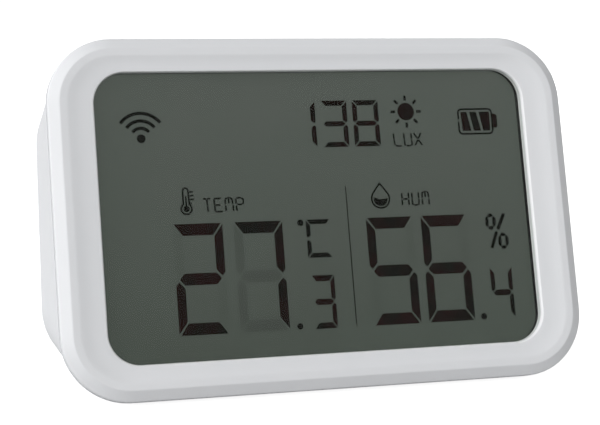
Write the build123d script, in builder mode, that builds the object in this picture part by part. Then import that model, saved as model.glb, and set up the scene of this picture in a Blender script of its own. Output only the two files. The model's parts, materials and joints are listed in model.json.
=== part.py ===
from build123d import *
import os
from math import cos, radians, sin, tan

# A desk temperature and humidity sensor: a shallow white bezel round a wide liquid crystal
# window, on a wedge-shaped rear shell that tips the face back. Millimetres, +Z up.
# The origin is on the table under the middle of the object, and the face looks along -Y.
# "Height" below is measured out of the face from the front of the window, so what lies
# behind the window has a negative height.

overrun = 1.0
fit_gap = 0.05
corner_angle = 45.0

# Stance
face_lean = 14.74
rear_lean = 3.3
foot_standoff = 0.7

# Front bezel
bezel_width = 86.6
bezel_height = 56.7
bezel_radius = 10.5
bezel_drop = 0.2
seam_depth = 0.9
side_height = 1.5
chamfer_width = 1.75
chamfer_height = 1.1
ridge_width = 1.2
lip_height = 0.8
lip_draft = 0.2
frame_side = 7.3
frame_end = 5.45
window_radius = 4.9
tongue_wall = 1.0
tongue_depth = 4.0
tongue_end = 12.3
tongue_side_end = 11.85
tongue_gap = 0.15
barb_reach = 0.55
barb_length = 7.0
barb_height = 0.8
barb_end = 23.3
barb_side_end = 17.35
snap_reach = 0.4
snap_length = 6.0
snap_height = 1.0
snap_gap = 0.1
snap_end = 16.3

# Rear shell
shell_inset = 0.3
shell_depth = 22.3
shell_wall = 1.7
shell_radius = 10.5
shell_edge = 1.3
side_draft = 2.0
top_draft = 8.6

# Window and liquid crystal stack
window_thickness = 0.8
window_overlap = 1.2
window_gap = 0.1
gasket_thickness = 0.3
gasket_width = 1.15
film_thickness = 0.2
film_inset = 0.3
glass_thickness = 0.7
glass_side = 0.6
glass_below = 0.7
glass_above = 1.3
glass_ledge = 1.1
reflector_thickness = 0.25
glass_gap = 0.15
strip_width = 0.9
strip_side = 3.0

# Display holder
holder_floor = 1.0
holder_gap = 0.1
boss_radius = 2.1
boss_height = 1.15
boss_edge = 3.0
boss_rise = 5.2
rib_width = 0.9
rib_pitch = 11.0
rib_count = 5
rib_end = 5.9
rib_gap = 0.2
post_radius = 2.3
tube_radius = 3.2
tube_floor_wall = 1.4
post_length = 5.3
post_edge = 6.0
post_y = -2.0

# Main board and its screws
board_side = 4.3
board_above = 3.55
board_below = 4.15
board_thickness = 1.2
board_corner = 6.5
board_hole_gap = 0.3
screw_shank = 0.85
screw_head = 1.75
screw_head_height = 1.1
screw_length = 2.6
screw_slot = 0.5
screw_slot_depth = 0.6
shell_screw_length = 5.6

# Parts on the main board
module_width = 24.0
module_height = 16.0
module_thickness = 0.8
module_side = 17.5
module_drop = 10.2
can_width = 14.5
can_height = 12.0
can_thickness = 2.1
can_shift = 3.2
can_radius = 0.6
antenna_width = 0.7
antenna_pitch = 2.2
antenna_reach = 10.5
antenna_thickness = 0.05
antenna_turns = 3
climate_size = 3.0
climate_thickness = 1.0
climate_port = 0.6
climate_edge = 4.5
climate_drop = 15.3
board_slot_width = 1.2
board_slot_length = 12.0
driver_size = 9.0
driver_thickness = 1.4
driver_x = 4.0
driver_drop = 11.2
lead_width = 0.35
lead_pitch = 1.2
lead_count = 7
lead_reach = 0.9
lead_thickness = 0.3
crystal_length = 7.0
crystal_width = 3.0
crystal_thickness = 2.4
crystal_x = -5.6
crystal_drop = 11.8
chip_length = 2.0
chip_width = 1.25
chip_thickness = 0.6
chip_pitch = 3.0
chip_rows = 4
chip_x = 13.0
chip_drop = 12.4
chip_row_pitch = 7.5
chip_row_count = 6
chip_row_rise = 3.4

# Light sensor and its window in the top of the shell
light_x = 12.5
light_radius = 1.25
light_length = 4.2
light_foot = 0.7
light_drop = 0.9
pipe_radius = 1.4
pipe_flange = 0.3
pipe_flange_height = 0.5
pipe_clear = 0.2

# Pairing button and tact switch
button_side = 18.0
button_drop = 11.3
button_radius = 3.6
button_gap = 0.3
button_flange = 0.9
button_flange_height = 1.0
button_rise = 0.4
button_edge = 0.3
button_stem = 1.7
button_travel = 0.5
button_dish = 2.4
button_dish_depth = 0.25
guide_wall = 1.1
guide_depth = 4.6
switch_size = 6.0
switch_height = 3.5
plunger_radius = 1.7
plunger_height = 1.5
plunger_seat = 0.6
plunger_gap = 0.1

# Battery bay, cells and contacts
cell_radius = 5.25
cell_length = 44.5
cell_nub_radius = 1.9
cell_nub_height = 1.0
cell_edge = 0.6
cell_pitch = 11.2
cell_gap = 0.5
bay_rise = 21.25
contact_room = 5.9
bay_wall = 1.2
bay_margin = 0.35
bay_floor = 1.1
bay_floor_gap = 0.25
contact_thickness = 0.35
contact_width = 8.4
contact_reach = 8.6
contact_dimple = 1.6
contact_dimple_height = 0.4
tab_width = 2.4
tab_gap = 0.2
spring_wire = 0.3
spring_base = 3.2
spring_tip = 1.9
spring_turns = 2
spring_sides = 6
spring_gap = 0.1

# Battery door
door_thickness = 1.5
door_overlap = 1.2
door_gap = 0.3
door_seat = 0.1
door_radius = 2.4
door_rib = 1.2
door_rib_depth = 4.0
door_rib_x = 15.0
door_rib_gap = 0.4
door_slit = 0.8
door_slit_length = 5.0
door_slit_pitch = 14.0
door_groove = 0.7
door_groove_depth = 0.35
door_groove_length = 9.0
door_groove_pitch = 1.6
door_groove_count = 3
notch_length = 13.0
notch_depth = 0.8
notch_width = 2.6

# Vents, clamping ribs and feet
vent_width = 1.3
vent_length = 8.0
vent_pitch = 2.8
vent_count = 4
vent_height = -12.5
rear_vent_length = 9.0
rear_vent_side = 5.0
rear_vent_drop = 12.8
rear_vent_count = 3
clamp_width = 1.4
clamp_reach = 1.9
clamp_gap = 0.1
clamp_length = 6.0
clamp_side = 13.0
foot_radius = 4.0
foot_recess = 0.6
foot_side = 16.3
foot_inset = 6.2
foot_edge = 0.3

# Worked out from the sizes above
window_width = bezel_width - 2 * frame_side
window_height = bezel_height - 2 * frame_end
tongue_span = bezel_width - 2 * tongue_end
tongue_side_span = bezel_height - 2 * tongue_side_end
barb_pitch = bezel_width - 2 * barb_end
barb_side_pitch = bezel_height - 2 * barb_side_end
snap_pitch = bezel_width - 2 * snap_end
glass_width = window_width + 2 * glass_side
glass_bottom = window_height / 2 + glass_below
glass_top = window_height / 2 + glass_above
strip_length = window_width - 2 * strip_side
board_width = bezel_width - 2 * board_side
board_top = bezel_height / 2 - board_above
board_bottom = bezel_height / 2 - board_below
boss_x = board_width / 2 - boss_edge
boss_y = board_bottom - boss_rise
rib_length = window_height - 2 * rib_end
post_x = board_width / 2 - post_edge
module_x = module_side - board_width / 2
module_y = board_top - module_drop
climate_x = board_width / 2 - climate_edge
climate_y = board_top - climate_drop
driver_y = board_top - driver_drop
crystal_y = board_top - crystal_drop
chip_y = board_top - chip_drop
chip_row_y = chip_row_rise - board_bottom
light_top = board_top - light_drop
pipe_start = light_top + pipe_clear
button_x = board_width / 2 - button_side
button_y = board_top - button_drop
bay_length = cell_length + contact_room
bay_y = bay_rise - bezel_height / 2
vent_y = climate_y
rear_vent_x = board_width / 2 - rear_vent_side
rear_vent_y = board_top - rear_vent_drop
clamp_x = board_width / 2 - clamp_side
foot_x = bezel_width / 2 - foot_side
ridge_height = side_height - seam_depth + chamfer_height
chamfer_start = side_height - seam_depth
lip_width = window_width + 2 * lip_draft
lip_span = window_height + 2 * lip_draft
shell_half_width = bezel_width / 2 - shell_inset
shell_half_height = bezel_height / 2 - shell_inset
stance_drop = (shell_half_height + bezel_drop) * cos(radians(face_lean))
face_z = foot_standoff + stance_drop + seam_depth * sin(radians(face_lean))
wedge_slope = tan(radians(face_lean - rear_lean))
top_slope = tan(radians(top_draft))
base_slope = tan(radians(face_lean))
side_slope = tan(radians(side_draft))


def rear_corner(start, slope, depth):
    """Meeting point, in the side view, of a flank that leaves the seam and the rear wall."""
    across = (start - slope * (depth - seam_depth)) / (1 - slope * wedge_slope)
    return across, wedge_slope * across - depth


corner_y, corner_height = rear_corner(shell_half_height - bezel_drop, top_slope, shell_depth)
base_y, base_height = rear_corner(-shell_half_height - bezel_drop, -base_slope, shell_depth)
rear_reach = corner_y * sin(radians(face_lean)) - corner_height * cos(radians(face_lean))
ridge_half = bezel_height / 2 - chamfer_width
front_reach = (ridge_half + bezel_drop) * sin(radians(face_lean)) + ridge_height * cos(radians(face_lean))
face_y = (front_reach - rear_reach) / 2

face = Plane(
    origin=(0, face_y, face_z),
    x_dir=(1, 0, 0),
    z_dir=(0, -cos(radians(face_lean)), sin(radians(face_lean))),
)
flank = Plane(origin=face.origin, x_dir=face.y_dir, z_dir=(1, 0, 0))
plan = Plane(origin=face.origin, x_dir=(1, 0, 0), z_dir=-face.y_dir)
rear = Plane(
    origin=face.from_local_coords((0, 0, -shell_depth)),
    x_dir=(1, 0, 0),
    z_dir=(0, -cos(radians(rear_lean)), sin(radians(rear_lean))),
)
back_flank = Plane(origin=rear.origin, x_dir=rear.y_dir, z_dir=(1, 0, 0))
outward = -face.z_dir


# Heights of the layers behind the window
gasket_top = -window_thickness
film_top = gasket_top - gasket_thickness
front_glass_top = film_top - film_thickness
rear_glass_top = front_glass_top - glass_thickness
reflector_top = rear_glass_top - glass_thickness
floor_top = reflector_top - reflector_thickness
holder_back = floor_top - holder_floor
board_front = holder_back - boss_height
board_back = board_front - board_thickness
post_end = holder_back - post_length
tube_floor = post_end - fit_gap
cell_depth = door_thickness + cell_gap + cell_radius
bay_depth = cell_depth + cell_radius + bay_floor_gap
bay_height = 2 * cell_radius + cell_pitch + 2 * bay_margin
tongue_inset = shell_wall + tongue_gap
holder_inset = tongue_inset + tongue_wall + holder_gap
plunger_room = button_travel + plunger_gap

os.makedirs("parts", exist_ok=True)


def layer(height, x=0.0, y=0.0):
    """Plane parallel to the face at a height, centred x and y from the window's centre."""
    return Plane(origin=face.from_local_coords((x, y, height)), x_dir=face.x_dir, z_dir=face.z_dir)


def rear_layer(depth, x=0.0, y=0.0):
    """Plane parallel to the rear wall at a depth inside it, for the battery bay and its door."""
    return Plane(origin=rear.from_local_coords((x, y, depth)), x_dir=rear.x_dir, z_dir=rear.z_dir)


def upright(x, y, height):
    """Plane that looks up along the face, for what passes through the top wall."""
    return Plane(origin=face.from_local_coords((x, y, height)), x_dir=face.x_dir, z_dir=face.y_dir)


def panel(width, bottom, top):
    """Rectangle that reaches bottom below and top above the window's centre."""
    with Locations((0, (top - bottom) / 2)):
        Rectangle(width, top + bottom)


def wedge(inset, front):
    """The rear shell's outer block drawn in by inset, from the height front to the rear wall."""
    depth = shell_depth - inset
    top = shell_half_height - bezel_drop - inset
    bottom = inset - shell_half_height - bezel_drop
    lead = front + seam_depth
    front_half = shell_half_width - inset + side_slope * lead
    back_half = shell_half_width - inset - side_slope * 2 * shell_depth
    with BuildPart() as block:
        with BuildSketch(flank):
            with BuildLine():
                Polyline(
                    (bottom - base_slope * lead, front),
                    (top + top_slope * lead, front),
                    rear_corner(top, top_slope, depth),
                    rear_corner(bottom, -base_slope, depth),
                    close=True,
                )
            make_face()
        extrude(amount=bezel_width, both=True)
        with BuildSketch(plan):
            with BuildLine():
                Polyline(
                    (-front_half, front),
                    (front_half, front),
                    (back_half, -seam_depth - 2 * shell_depth),
                    (-back_half, -seam_depth - 2 * shell_depth),
                    close=True,
                )
            make_face()
        extrude(amount=bezel_height, both=True, mode=Mode.INTERSECT)
        along_depth = cos(radians(corner_angle))
        corners = block.edges().filter_by(lambda edge: abs((edge % 0).dot(face.z_dir)) > along_depth)
        fillet(corners, shell_radius - inset)
    return block.part


# Front bezel: side wall, chamfer, flat ridge, dished frame and drafted lip, with a locating
# tongue behind that slips into the rear shell
with BuildPart() as tongue:
    add(wedge(tongue_inset, -seam_depth))
    add(wedge(tongue_inset + tongue_wall, overrun), mode=Mode.SUBTRACT)
    with BuildSketch(layer(-seam_depth - tongue_depth)):
        Rectangle(tongue_span, bezel_height)
        Rectangle(bezel_width, tongue_side_span)
    extrude(amount=tongue_depth, mode=Mode.INTERSECT)

with BuildPart() as barbs:
    add(wedge(tongue_inset, -seam_depth))
    add(wedge(tongue_inset + tongue_wall + barb_reach, overrun), mode=Mode.SUBTRACT)
    with BuildSketch(layer(-seam_depth - tongue_depth)):
        with Locations((-barb_pitch / 2, -bezel_height / 2), (barb_pitch / 2, -bezel_height / 2)):
            Rectangle(barb_length, bezel_height / 2)
        with GridLocations(bezel_width, barb_side_pitch, 1, 2):
            Rectangle(bezel_width, barb_length)
    extrude(amount=barb_height, mode=Mode.INTERSECT)


def snaps(reach, length, height):
    """Four bumps on the tongue's top and bottom, or the pockets that they click into."""
    with BuildPart() as bumps:
        add(wedge(shell_wall - reach, -seam_depth))
        add(wedge(tongue_inset, overrun), mode=Mode.SUBTRACT)
        with BuildSketch(layer(-seam_depth - tongue_depth / 2)):
            with GridLocations(snap_pitch, bezel_height, 2, 1):
                Rectangle(length, bezel_height)
        extrude(amount=height / 2, both=True, mode=Mode.INTERSECT)
    return bumps.part


with BuildPart() as front_bezel:
    with BuildSketch(layer(-seam_depth, y=-bezel_drop)):
        RectangleRounded(bezel_width, bezel_height, bezel_radius)
    extrude(amount=side_height)
    with BuildSketch(layer(chamfer_start, y=-bezel_drop)):
        RectangleRounded(bezel_width, bezel_height, bezel_radius)
    with BuildSketch(layer(ridge_height, y=-bezel_drop)):
        RectangleRounded(
            bezel_width - 2 * chamfer_width,
            bezel_height - 2 * chamfer_width,
            bezel_radius - chamfer_width,
        )
    loft(ruled=True)
    with BuildSketch(layer(lip_height)):
        RectangleRounded(lip_width, lip_span, window_radius + lip_draft)
    with BuildSketch(layer(ridge_height, y=-bezel_drop)):
        RectangleRounded(
            bezel_width - 2 * (chamfer_width + ridge_width),
            bezel_height - 2 * (chamfer_width + ridge_width),
            bezel_radius - chamfer_width - ridge_width,
        )
    loft(ruled=True, mode=Mode.SUBTRACT)
    with BuildSketch(layer(0)):
        RectangleRounded(window_width, window_height, window_radius)
    with BuildSketch(layer(lip_height)):
        RectangleRounded(lip_width, lip_span, window_radius + lip_draft)
    loft(ruled=True, mode=Mode.SUBTRACT)
    with BuildSketch(layer(0)):
        RectangleRounded(
            window_width + 2 * (window_overlap + window_gap),
            window_height + 2 * (window_overlap + window_gap),
            window_radius + window_overlap,
        )
    extrude(amount=-seam_depth, mode=Mode.SUBTRACT)
    add(tongue.part)
    add(barbs.part)
    add(snaps(snap_reach, snap_length, snap_height))

front_bezel.part.label = "front_bezel"
export_step(front_bezel.part, "parts/front_bezel.step")

# Clear window behind the lip, and the soft gasket that seals it to the display
with BuildPart() as display_window:
    with BuildSketch(layer(0)):
        RectangleRounded(
            window_width + 2 * window_overlap,
            window_height + 2 * window_overlap,
            window_radius + window_overlap,
        )
    extrude(amount=-window_thickness)

display_window.part.label = "display_window"
export_step(display_window.part, "parts/display_window.step")

with BuildPart() as window_gasket:
    with BuildSketch(layer(gasket_top)):
        RectangleRounded(
            window_width + 2 * window_overlap,
            window_height + 2 * window_overlap,
            window_radius + window_overlap,
        )
        RectangleRounded(
            window_width + 2 * (window_overlap - gasket_width),
            window_height + 2 * (window_overlap - gasket_width),
            window_radius + window_overlap - gasket_width,
            mode=Mode.SUBTRACT,
        )
    extrude(amount=-gasket_thickness)

window_gasket.part.label = "window_gasket"
export_step(window_gasket.part, "parts/window_gasket.step")

# Liquid crystal display: polarising film, two panes and a reflector. The front pane's top
# edge overhangs the rear one, and a soft contact strip joins that ledge to the board.
with BuildPart() as front_film:
    with BuildSketch(layer(film_top)):
        panel(glass_width - 2 * film_inset, glass_bottom - film_inset, glass_top - film_inset)
    extrude(amount=-film_thickness)

front_film.part.label = "front_film"
export_step(front_film.part, "parts/front_film.step")

with BuildPart() as front_glass:
    with BuildSketch(layer(front_glass_top)):
        panel(glass_width, glass_bottom, glass_top)
    extrude(amount=-glass_thickness)

front_glass.part.label = "front_glass"
export_step(front_glass.part, "parts/front_glass.step")

with BuildPart() as rear_glass:
    with BuildSketch(layer(rear_glass_top)):
        panel(glass_width, glass_bottom, glass_top - glass_ledge)
    extrude(amount=-glass_thickness)

rear_glass.part.label = "rear_glass"
export_step(rear_glass.part, "parts/rear_glass.step")

with BuildPart() as reflector_film:
    with BuildSketch(layer(reflector_top)):
        panel(glass_width - 2 * film_inset, glass_bottom - film_inset, glass_top - glass_ledge - film_inset)
    extrude(amount=-reflector_thickness)

reflector_film.part.label = "reflector_film"
export_step(reflector_film.part, "parts/reflector_film.step")

strip_y = glass_top - glass_ledge / 2
with BuildPart() as contact_strip:
    with BuildSketch(layer(rear_glass_top, y=strip_y)):
        Rectangle(strip_length, strip_width)
    extrude(amount=board_front - rear_glass_top)

contact_strip.part.label = "contact_strip"
export_step(contact_strip.part, "parts/contact_strip.step")

# Display holder: a tray for the glass that clicks behind the tongue's barbs, with bosses for
# the board and two tall posts for the screws that hold the rear shell on
with BuildPart() as display_holder:
    add(wedge(holder_inset, film_top))
    split(bisect_by=layer(holder_back), keep=Keep.TOP)
    with BuildSketch(layer(film_top)):
        panel(glass_width + 2 * glass_gap, glass_bottom + glass_gap, glass_top + glass_gap)
    extrude(amount=floor_top - film_top, mode=Mode.SUBTRACT)
    with BuildSketch(layer(holder_back)):
        with GridLocations(2 * boss_x, 2 * boss_y, 2, 2):
            Circle(boss_radius)
    extrude(amount=-boss_height)
    with BuildSketch(layer(holder_back)):
        with GridLocations(rib_pitch, rib_length, rib_count, 1):
            Rectangle(rib_width, rib_length)
        Rectangle(rib_pitch * (rib_count - 1), rib_width)
    extrude(amount=rib_gap - boss_height)
    with BuildSketch(layer(holder_back, y=post_y)):
        with GridLocations(2 * post_x, post_radius, 2, 1):
            Circle(post_radius)
    extrude(amount=-post_length)
    with BuildSketch(layer(board_front)):
        with GridLocations(2 * boss_x, 2 * boss_y, 2, 2):
            Circle(screw_shank + fit_gap)
    extrude(amount=screw_length - board_thickness + fit_gap, mode=Mode.SUBTRACT)
    with BuildSketch(layer(post_end, y=post_y)):
        with GridLocations(2 * post_x, post_radius, 2, 1):
            Circle(screw_shank + fit_gap)
    extrude(amount=shell_screw_length, mode=Mode.SUBTRACT)
    with BuildSketch(layer(floor_top, y=strip_y)):
        Rectangle(strip_length + 2 * fit_gap, strip_width + 2 * fit_gap)
    extrude(amount=-holder_floor, mode=Mode.SUBTRACT)

display_holder.part.label = "display_holder"
export_step(display_holder.part, "parts/display_holder.step")

# Main board, with a slot that keeps the board's warmth away from the climate sensor
with BuildPart() as main_board:
    with BuildSketch(layer(board_front)):
        with Locations((0, (board_top - board_bottom) / 2)):
            RectangleRounded(board_width, board_top + board_bottom, board_corner)
        with GridLocations(2 * boss_x, 2 * boss_y, 2, 2):
            Circle(screw_shank + board_hole_gap, mode=Mode.SUBTRACT)
        with Locations((-post_x, post_y), (post_x, post_y)):
            Circle(post_radius + board_hole_gap, mode=Mode.SUBTRACT)
        with Locations((climate_x - 2 * board_slot_width - climate_size / 2, climate_y)):
            SlotOverall(board_slot_length, board_slot_width, rotation=90, mode=Mode.SUBTRACT)
    extrude(amount=-board_thickness)

main_board.part.label = "main_board"
export_step(main_board.part, "parts/main_board.step")


def screws(height, locations, length):
    """Cross-head screws whose heads bear on a layer and whose shanks run towards the face."""
    with BuildPart() as screw_set:
        with BuildSketch(layer(height)):
            with Locations(*locations):
                Circle(screw_head)
        extrude(amount=-screw_head_height)
        head_ends = screw_set.faces().sort_by(Axis((0, 0, 0), outward))[-len(locations):]
        chamfer(head_ends.edges(), screw_slot)
        with BuildSketch(layer(height)):
            with Locations(*locations):
                Circle(screw_shank)
        extrude(amount=length)
        with BuildSketch(layer(height - screw_head_height)):
            with Locations(*locations):
                Rectangle(2 * screw_shank, screw_slot)
                Rectangle(screw_slot, 2 * screw_shank)
        extrude(amount=screw_slot_depth, mode=Mode.SUBTRACT)
    return screw_set.part


boss_places = [(x, y) for x in (-boss_x, boss_x) for y in (-boss_y, boss_y)]
with BuildPart() as board_screws:
    add(screws(board_back, boss_places, screw_length))

board_screws.part.label = "board_screws"
export_step(board_screws.part, "parts/board_screws.step")

post_places = [(-post_x, post_y), (post_x, post_y)]
with BuildPart() as shell_screws:
    add(screws(tube_floor - tube_floor_wall, post_places, shell_screw_length))

shell_screws.part.label = "shell_screws"
export_step(shell_screws.part, "parts/shell_screws.step")

# Radio module: a small board with a shielding can and a zigzag aerial at its free end
with BuildPart() as radio_board:
    with BuildSketch(layer(board_back, module_x, module_y)):
        Rectangle(module_width, module_height)
    extrude(amount=-module_thickness)
    with BuildSketch(layer(board_back - module_thickness, module_x - module_width / 2, module_y)):
        for turn in range(antenna_turns):
            with Locations((antenna_pitch * (turn + 1), 0)):
                Rectangle(antenna_width, antenna_reach)
            side = antenna_reach / 2 - antenna_width / 2
            with Locations((antenna_pitch * (turn + 1) - antenna_pitch / 2, side if turn % 2 else -side)):
                Rectangle(antenna_pitch, antenna_width)
    extrude(amount=-antenna_thickness)

radio_board.part.label = "radio_board"
export_step(radio_board.part, "parts/radio_board.step")

with BuildPart() as radio_shield:
    with BuildSketch(layer(board_back - module_thickness, module_x + can_shift, module_y)):
        RectangleRounded(can_width, can_height, can_radius)
    extrude(amount=-can_thickness)
    chamfer(radio_shield.faces().sort_by(Axis((0, 0, 0), outward))[-1].edges(), can_radius / 2)

radio_shield.part.label = "radio_shield"
export_step(radio_shield.part, "parts/radio_shield.step")

# Temperature and humidity chip with its round port
with BuildPart() as climate_sensor:
    with BuildSketch(layer(board_back, climate_x, climate_y)):
        Rectangle(climate_size, climate_size)
    extrude(amount=-climate_thickness)
    with BuildSketch(layer(board_back - climate_thickness, climate_x, climate_y)):
        Circle(climate_port)
    extrude(amount=climate_thickness / 2, mode=Mode.SUBTRACT)

climate_sensor.part.label = "climate_sensor"
export_step(climate_sensor.part, "parts/climate_sensor.step")

# Display driver with a row of leads on each side
with BuildPart() as display_driver:
    with BuildSketch(layer(board_back - lead_thickness, driver_x, driver_y)):
        Rectangle(driver_size, driver_size)
    extrude(amount=-driver_thickness)
    with BuildSketch(layer(board_back, driver_x, driver_y)):
        with GridLocations(lead_pitch, driver_size + lead_reach, lead_count, 2):
            Rectangle(lead_width, lead_reach)
        with GridLocations(driver_size + lead_reach, lead_pitch, 2, lead_count):
            Rectangle(lead_reach, lead_width)
    extrude(amount=-2 * lead_thickness)

display_driver.part.label = "display_driver"
export_step(display_driver.part, "parts/display_driver.step")

with BuildPart() as clock_crystal:
    with BuildSketch(layer(board_back, crystal_x, crystal_y)):
        SlotOverall(crystal_length, crystal_width, rotation=90)
    extrude(amount=-crystal_thickness)

clock_crystal.part.label = "clock_crystal"
export_step(clock_crystal.part, "parts/clock_crystal.step")

with BuildPart() as board_chips:
    with BuildSketch(layer(board_back, chip_x, chip_y)):
        with GridLocations(chip_length, chip_pitch, 1, chip_rows):
            Rectangle(chip_length, chip_width)
    with BuildSketch(layer(board_back, y=chip_row_y)):
        with GridLocations(chip_row_pitch, chip_width, chip_row_count, 1):
            Rectangle(chip_length, chip_width)
    extrude(amount=-chip_thickness)

board_chips.part.label = "board_chips"
export_step(board_chips.part, "parts/board_chips.step")

# Light sensor on the board's top edge, and the clear light pipe above it in the shell's top
light_height = board_back - light_foot - light_radius
with BuildPart() as light_sensor:
    with BuildSketch(upright(light_x, light_top - light_length, light_height)):
        Circle(light_radius)
    extrude(amount=light_length)
    fillet(light_sensor.faces().sort_by(Axis((0, 0, 0), face.y_dir))[-1].edges(), light_radius / 2)
    with BuildSketch(layer(board_back, light_x, light_top - light_length)):
        with Locations((0, light_radius / 2)):
            Rectangle(light_radius, light_radius)
    extrude(amount=-light_foot - light_radius)

light_sensor.part.label = "light_sensor"
export_step(light_sensor.part, "parts/light_sensor.step")

with BuildPart() as light_pipe:
    with BuildSketch(upright(light_x, pipe_start, light_height)):
        Circle(pipe_radius)
    extrude(amount=2 * shell_wall)
    with BuildSketch(upright(light_x, pipe_start, light_height)):
        Circle(pipe_radius + pipe_flange)
    extrude(amount=pipe_flange_height)
    add(wedge(fit_gap, film_top), mode=Mode.INTERSECT)

light_pipe.part.label = "light_pipe"
export_step(light_pipe.part, "parts/light_pipe.step")

# Tact switch under the pairing button: a square body and a round plunger
switch_top = board_back - switch_height
with BuildPart() as switch_body:
    with BuildSketch(layer(board_back, button_x, button_y)):
        Rectangle(switch_size, switch_size)
    extrude(amount=-switch_height)
    with BuildSketch(layer(switch_top, button_x, button_y)):
        Circle(plunger_radius + plunger_gap)
    extrude(amount=plunger_seat + plunger_room, mode=Mode.SUBTRACT)

switch_body.part.label = "switch_body"
export_step(switch_body.part, "parts/switch_body.step")

with BuildPart() as switch_plunger:
    with BuildSketch(layer(switch_top + plunger_seat, button_x, button_y)):
        Circle(plunger_radius)
    extrude(amount=-plunger_seat - plunger_height)

switch_plunger.part.label = "switch_plunger"
export_step(switch_plunger.part, "parts/switch_plunger.step")

# Pairing button: cap through the rear wall, retaining flange and a stem down to the plunger
stem_front = switch_top - plunger_height
button_wall = wedge_slope * button_y - shell_depth
guide_front = button_wall + guide_depth
with BuildPart() as pairing_button:
    with BuildSketch(layer(guide_front, button_x, button_y)):
        Circle(button_radius)
    extrude(amount=-guide_depth - button_radius)
    split(bisect_by=rear.offset(-button_rise), keep=Keep.TOP)
    chamfer(pairing_button.faces().sort_by(Axis((0, 0, 0), outward))[-1].edges(), button_edge)
    with BuildSketch(rear.offset(-button_rise)):
        with Locations((button_x, button_y / cos(radians(face_lean - rear_lean)))):
            Circle(button_dish)
    extrude(amount=button_dish_depth, mode=Mode.SUBTRACT)
    with BuildSketch(layer(guide_front + fit_gap, button_x, button_y)):
        Circle(button_radius + button_flange)
    extrude(amount=button_flange_height)
    with BuildSketch(layer(stem_front, button_x, button_y)):
        Circle(button_stem)
    extrude(amount=guide_front - stem_front)

pairing_button.part.label = "pairing_button"
export_step(pairing_button.part, "parts/pairing_button.step")

# Rear shell: a drafted wedge, hollow, with the battery bay, two screw tubes, a guide for the
# button, vents at the climate sensor, clamping ribs and recesses for the feet
shell_block = wedge(0, -seam_depth)
with BuildPart() as bay_block:
    with BuildSketch(rear_layer(bay_depth + bay_floor, y=bay_y)):
        Rectangle(bay_length + 2 * bay_wall, bay_height + 2 * bay_wall)
    extrude(amount=-shell_depth)
    with BuildSketch(layer(tube_floor)):
        with Locations(*post_places):
            Circle(tube_radius)
    extrude(amount=-shell_depth)
    with BuildSketch(layer(guide_front, button_x, button_y)):
        Circle(button_radius + button_gap + guide_wall)
    extrude(amount=-shell_depth)
    add(shell_block, mode=Mode.INTERSECT)

clamp_half = bezel_height / 8
with BuildPart() as clamps:
    with BuildSketch(layer(board_back - clamp_gap)):
        for x in (-clamp_x, clamp_x):
            with Locations(
                (x, board_top - clamp_reach + clamp_half),
                (x, clamp_reach - board_bottom - clamp_half),
            ):
                Rectangle(clamp_width, 2 * clamp_half)
    extrude(amount=-clamp_length)
    add(shell_block, mode=Mode.INTERSECT)

door_length = bay_length + 2 * door_overlap
door_height = bay_height + 2 * door_overlap
door_top = bay_y + door_height / 2
upper_y = bay_y + cell_pitch / 2
lower_y = bay_y - cell_pitch / 2

base_front = face_y + seam_depth * cos(radians(face_lean))
base_front -= (shell_half_height + bezel_drop) * sin(radians(face_lean))
base_back = face_y + base_y * sin(radians(face_lean)) - base_height * cos(radians(face_lean))
foot_places = {
    "front_left": (-foot_x, base_front + foot_inset),
    "front_right": (foot_x, base_front + foot_inset),
    "back_left": (-foot_x, base_back - foot_inset),
    "back_right": (foot_x, base_back - foot_inset),
}

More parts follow.
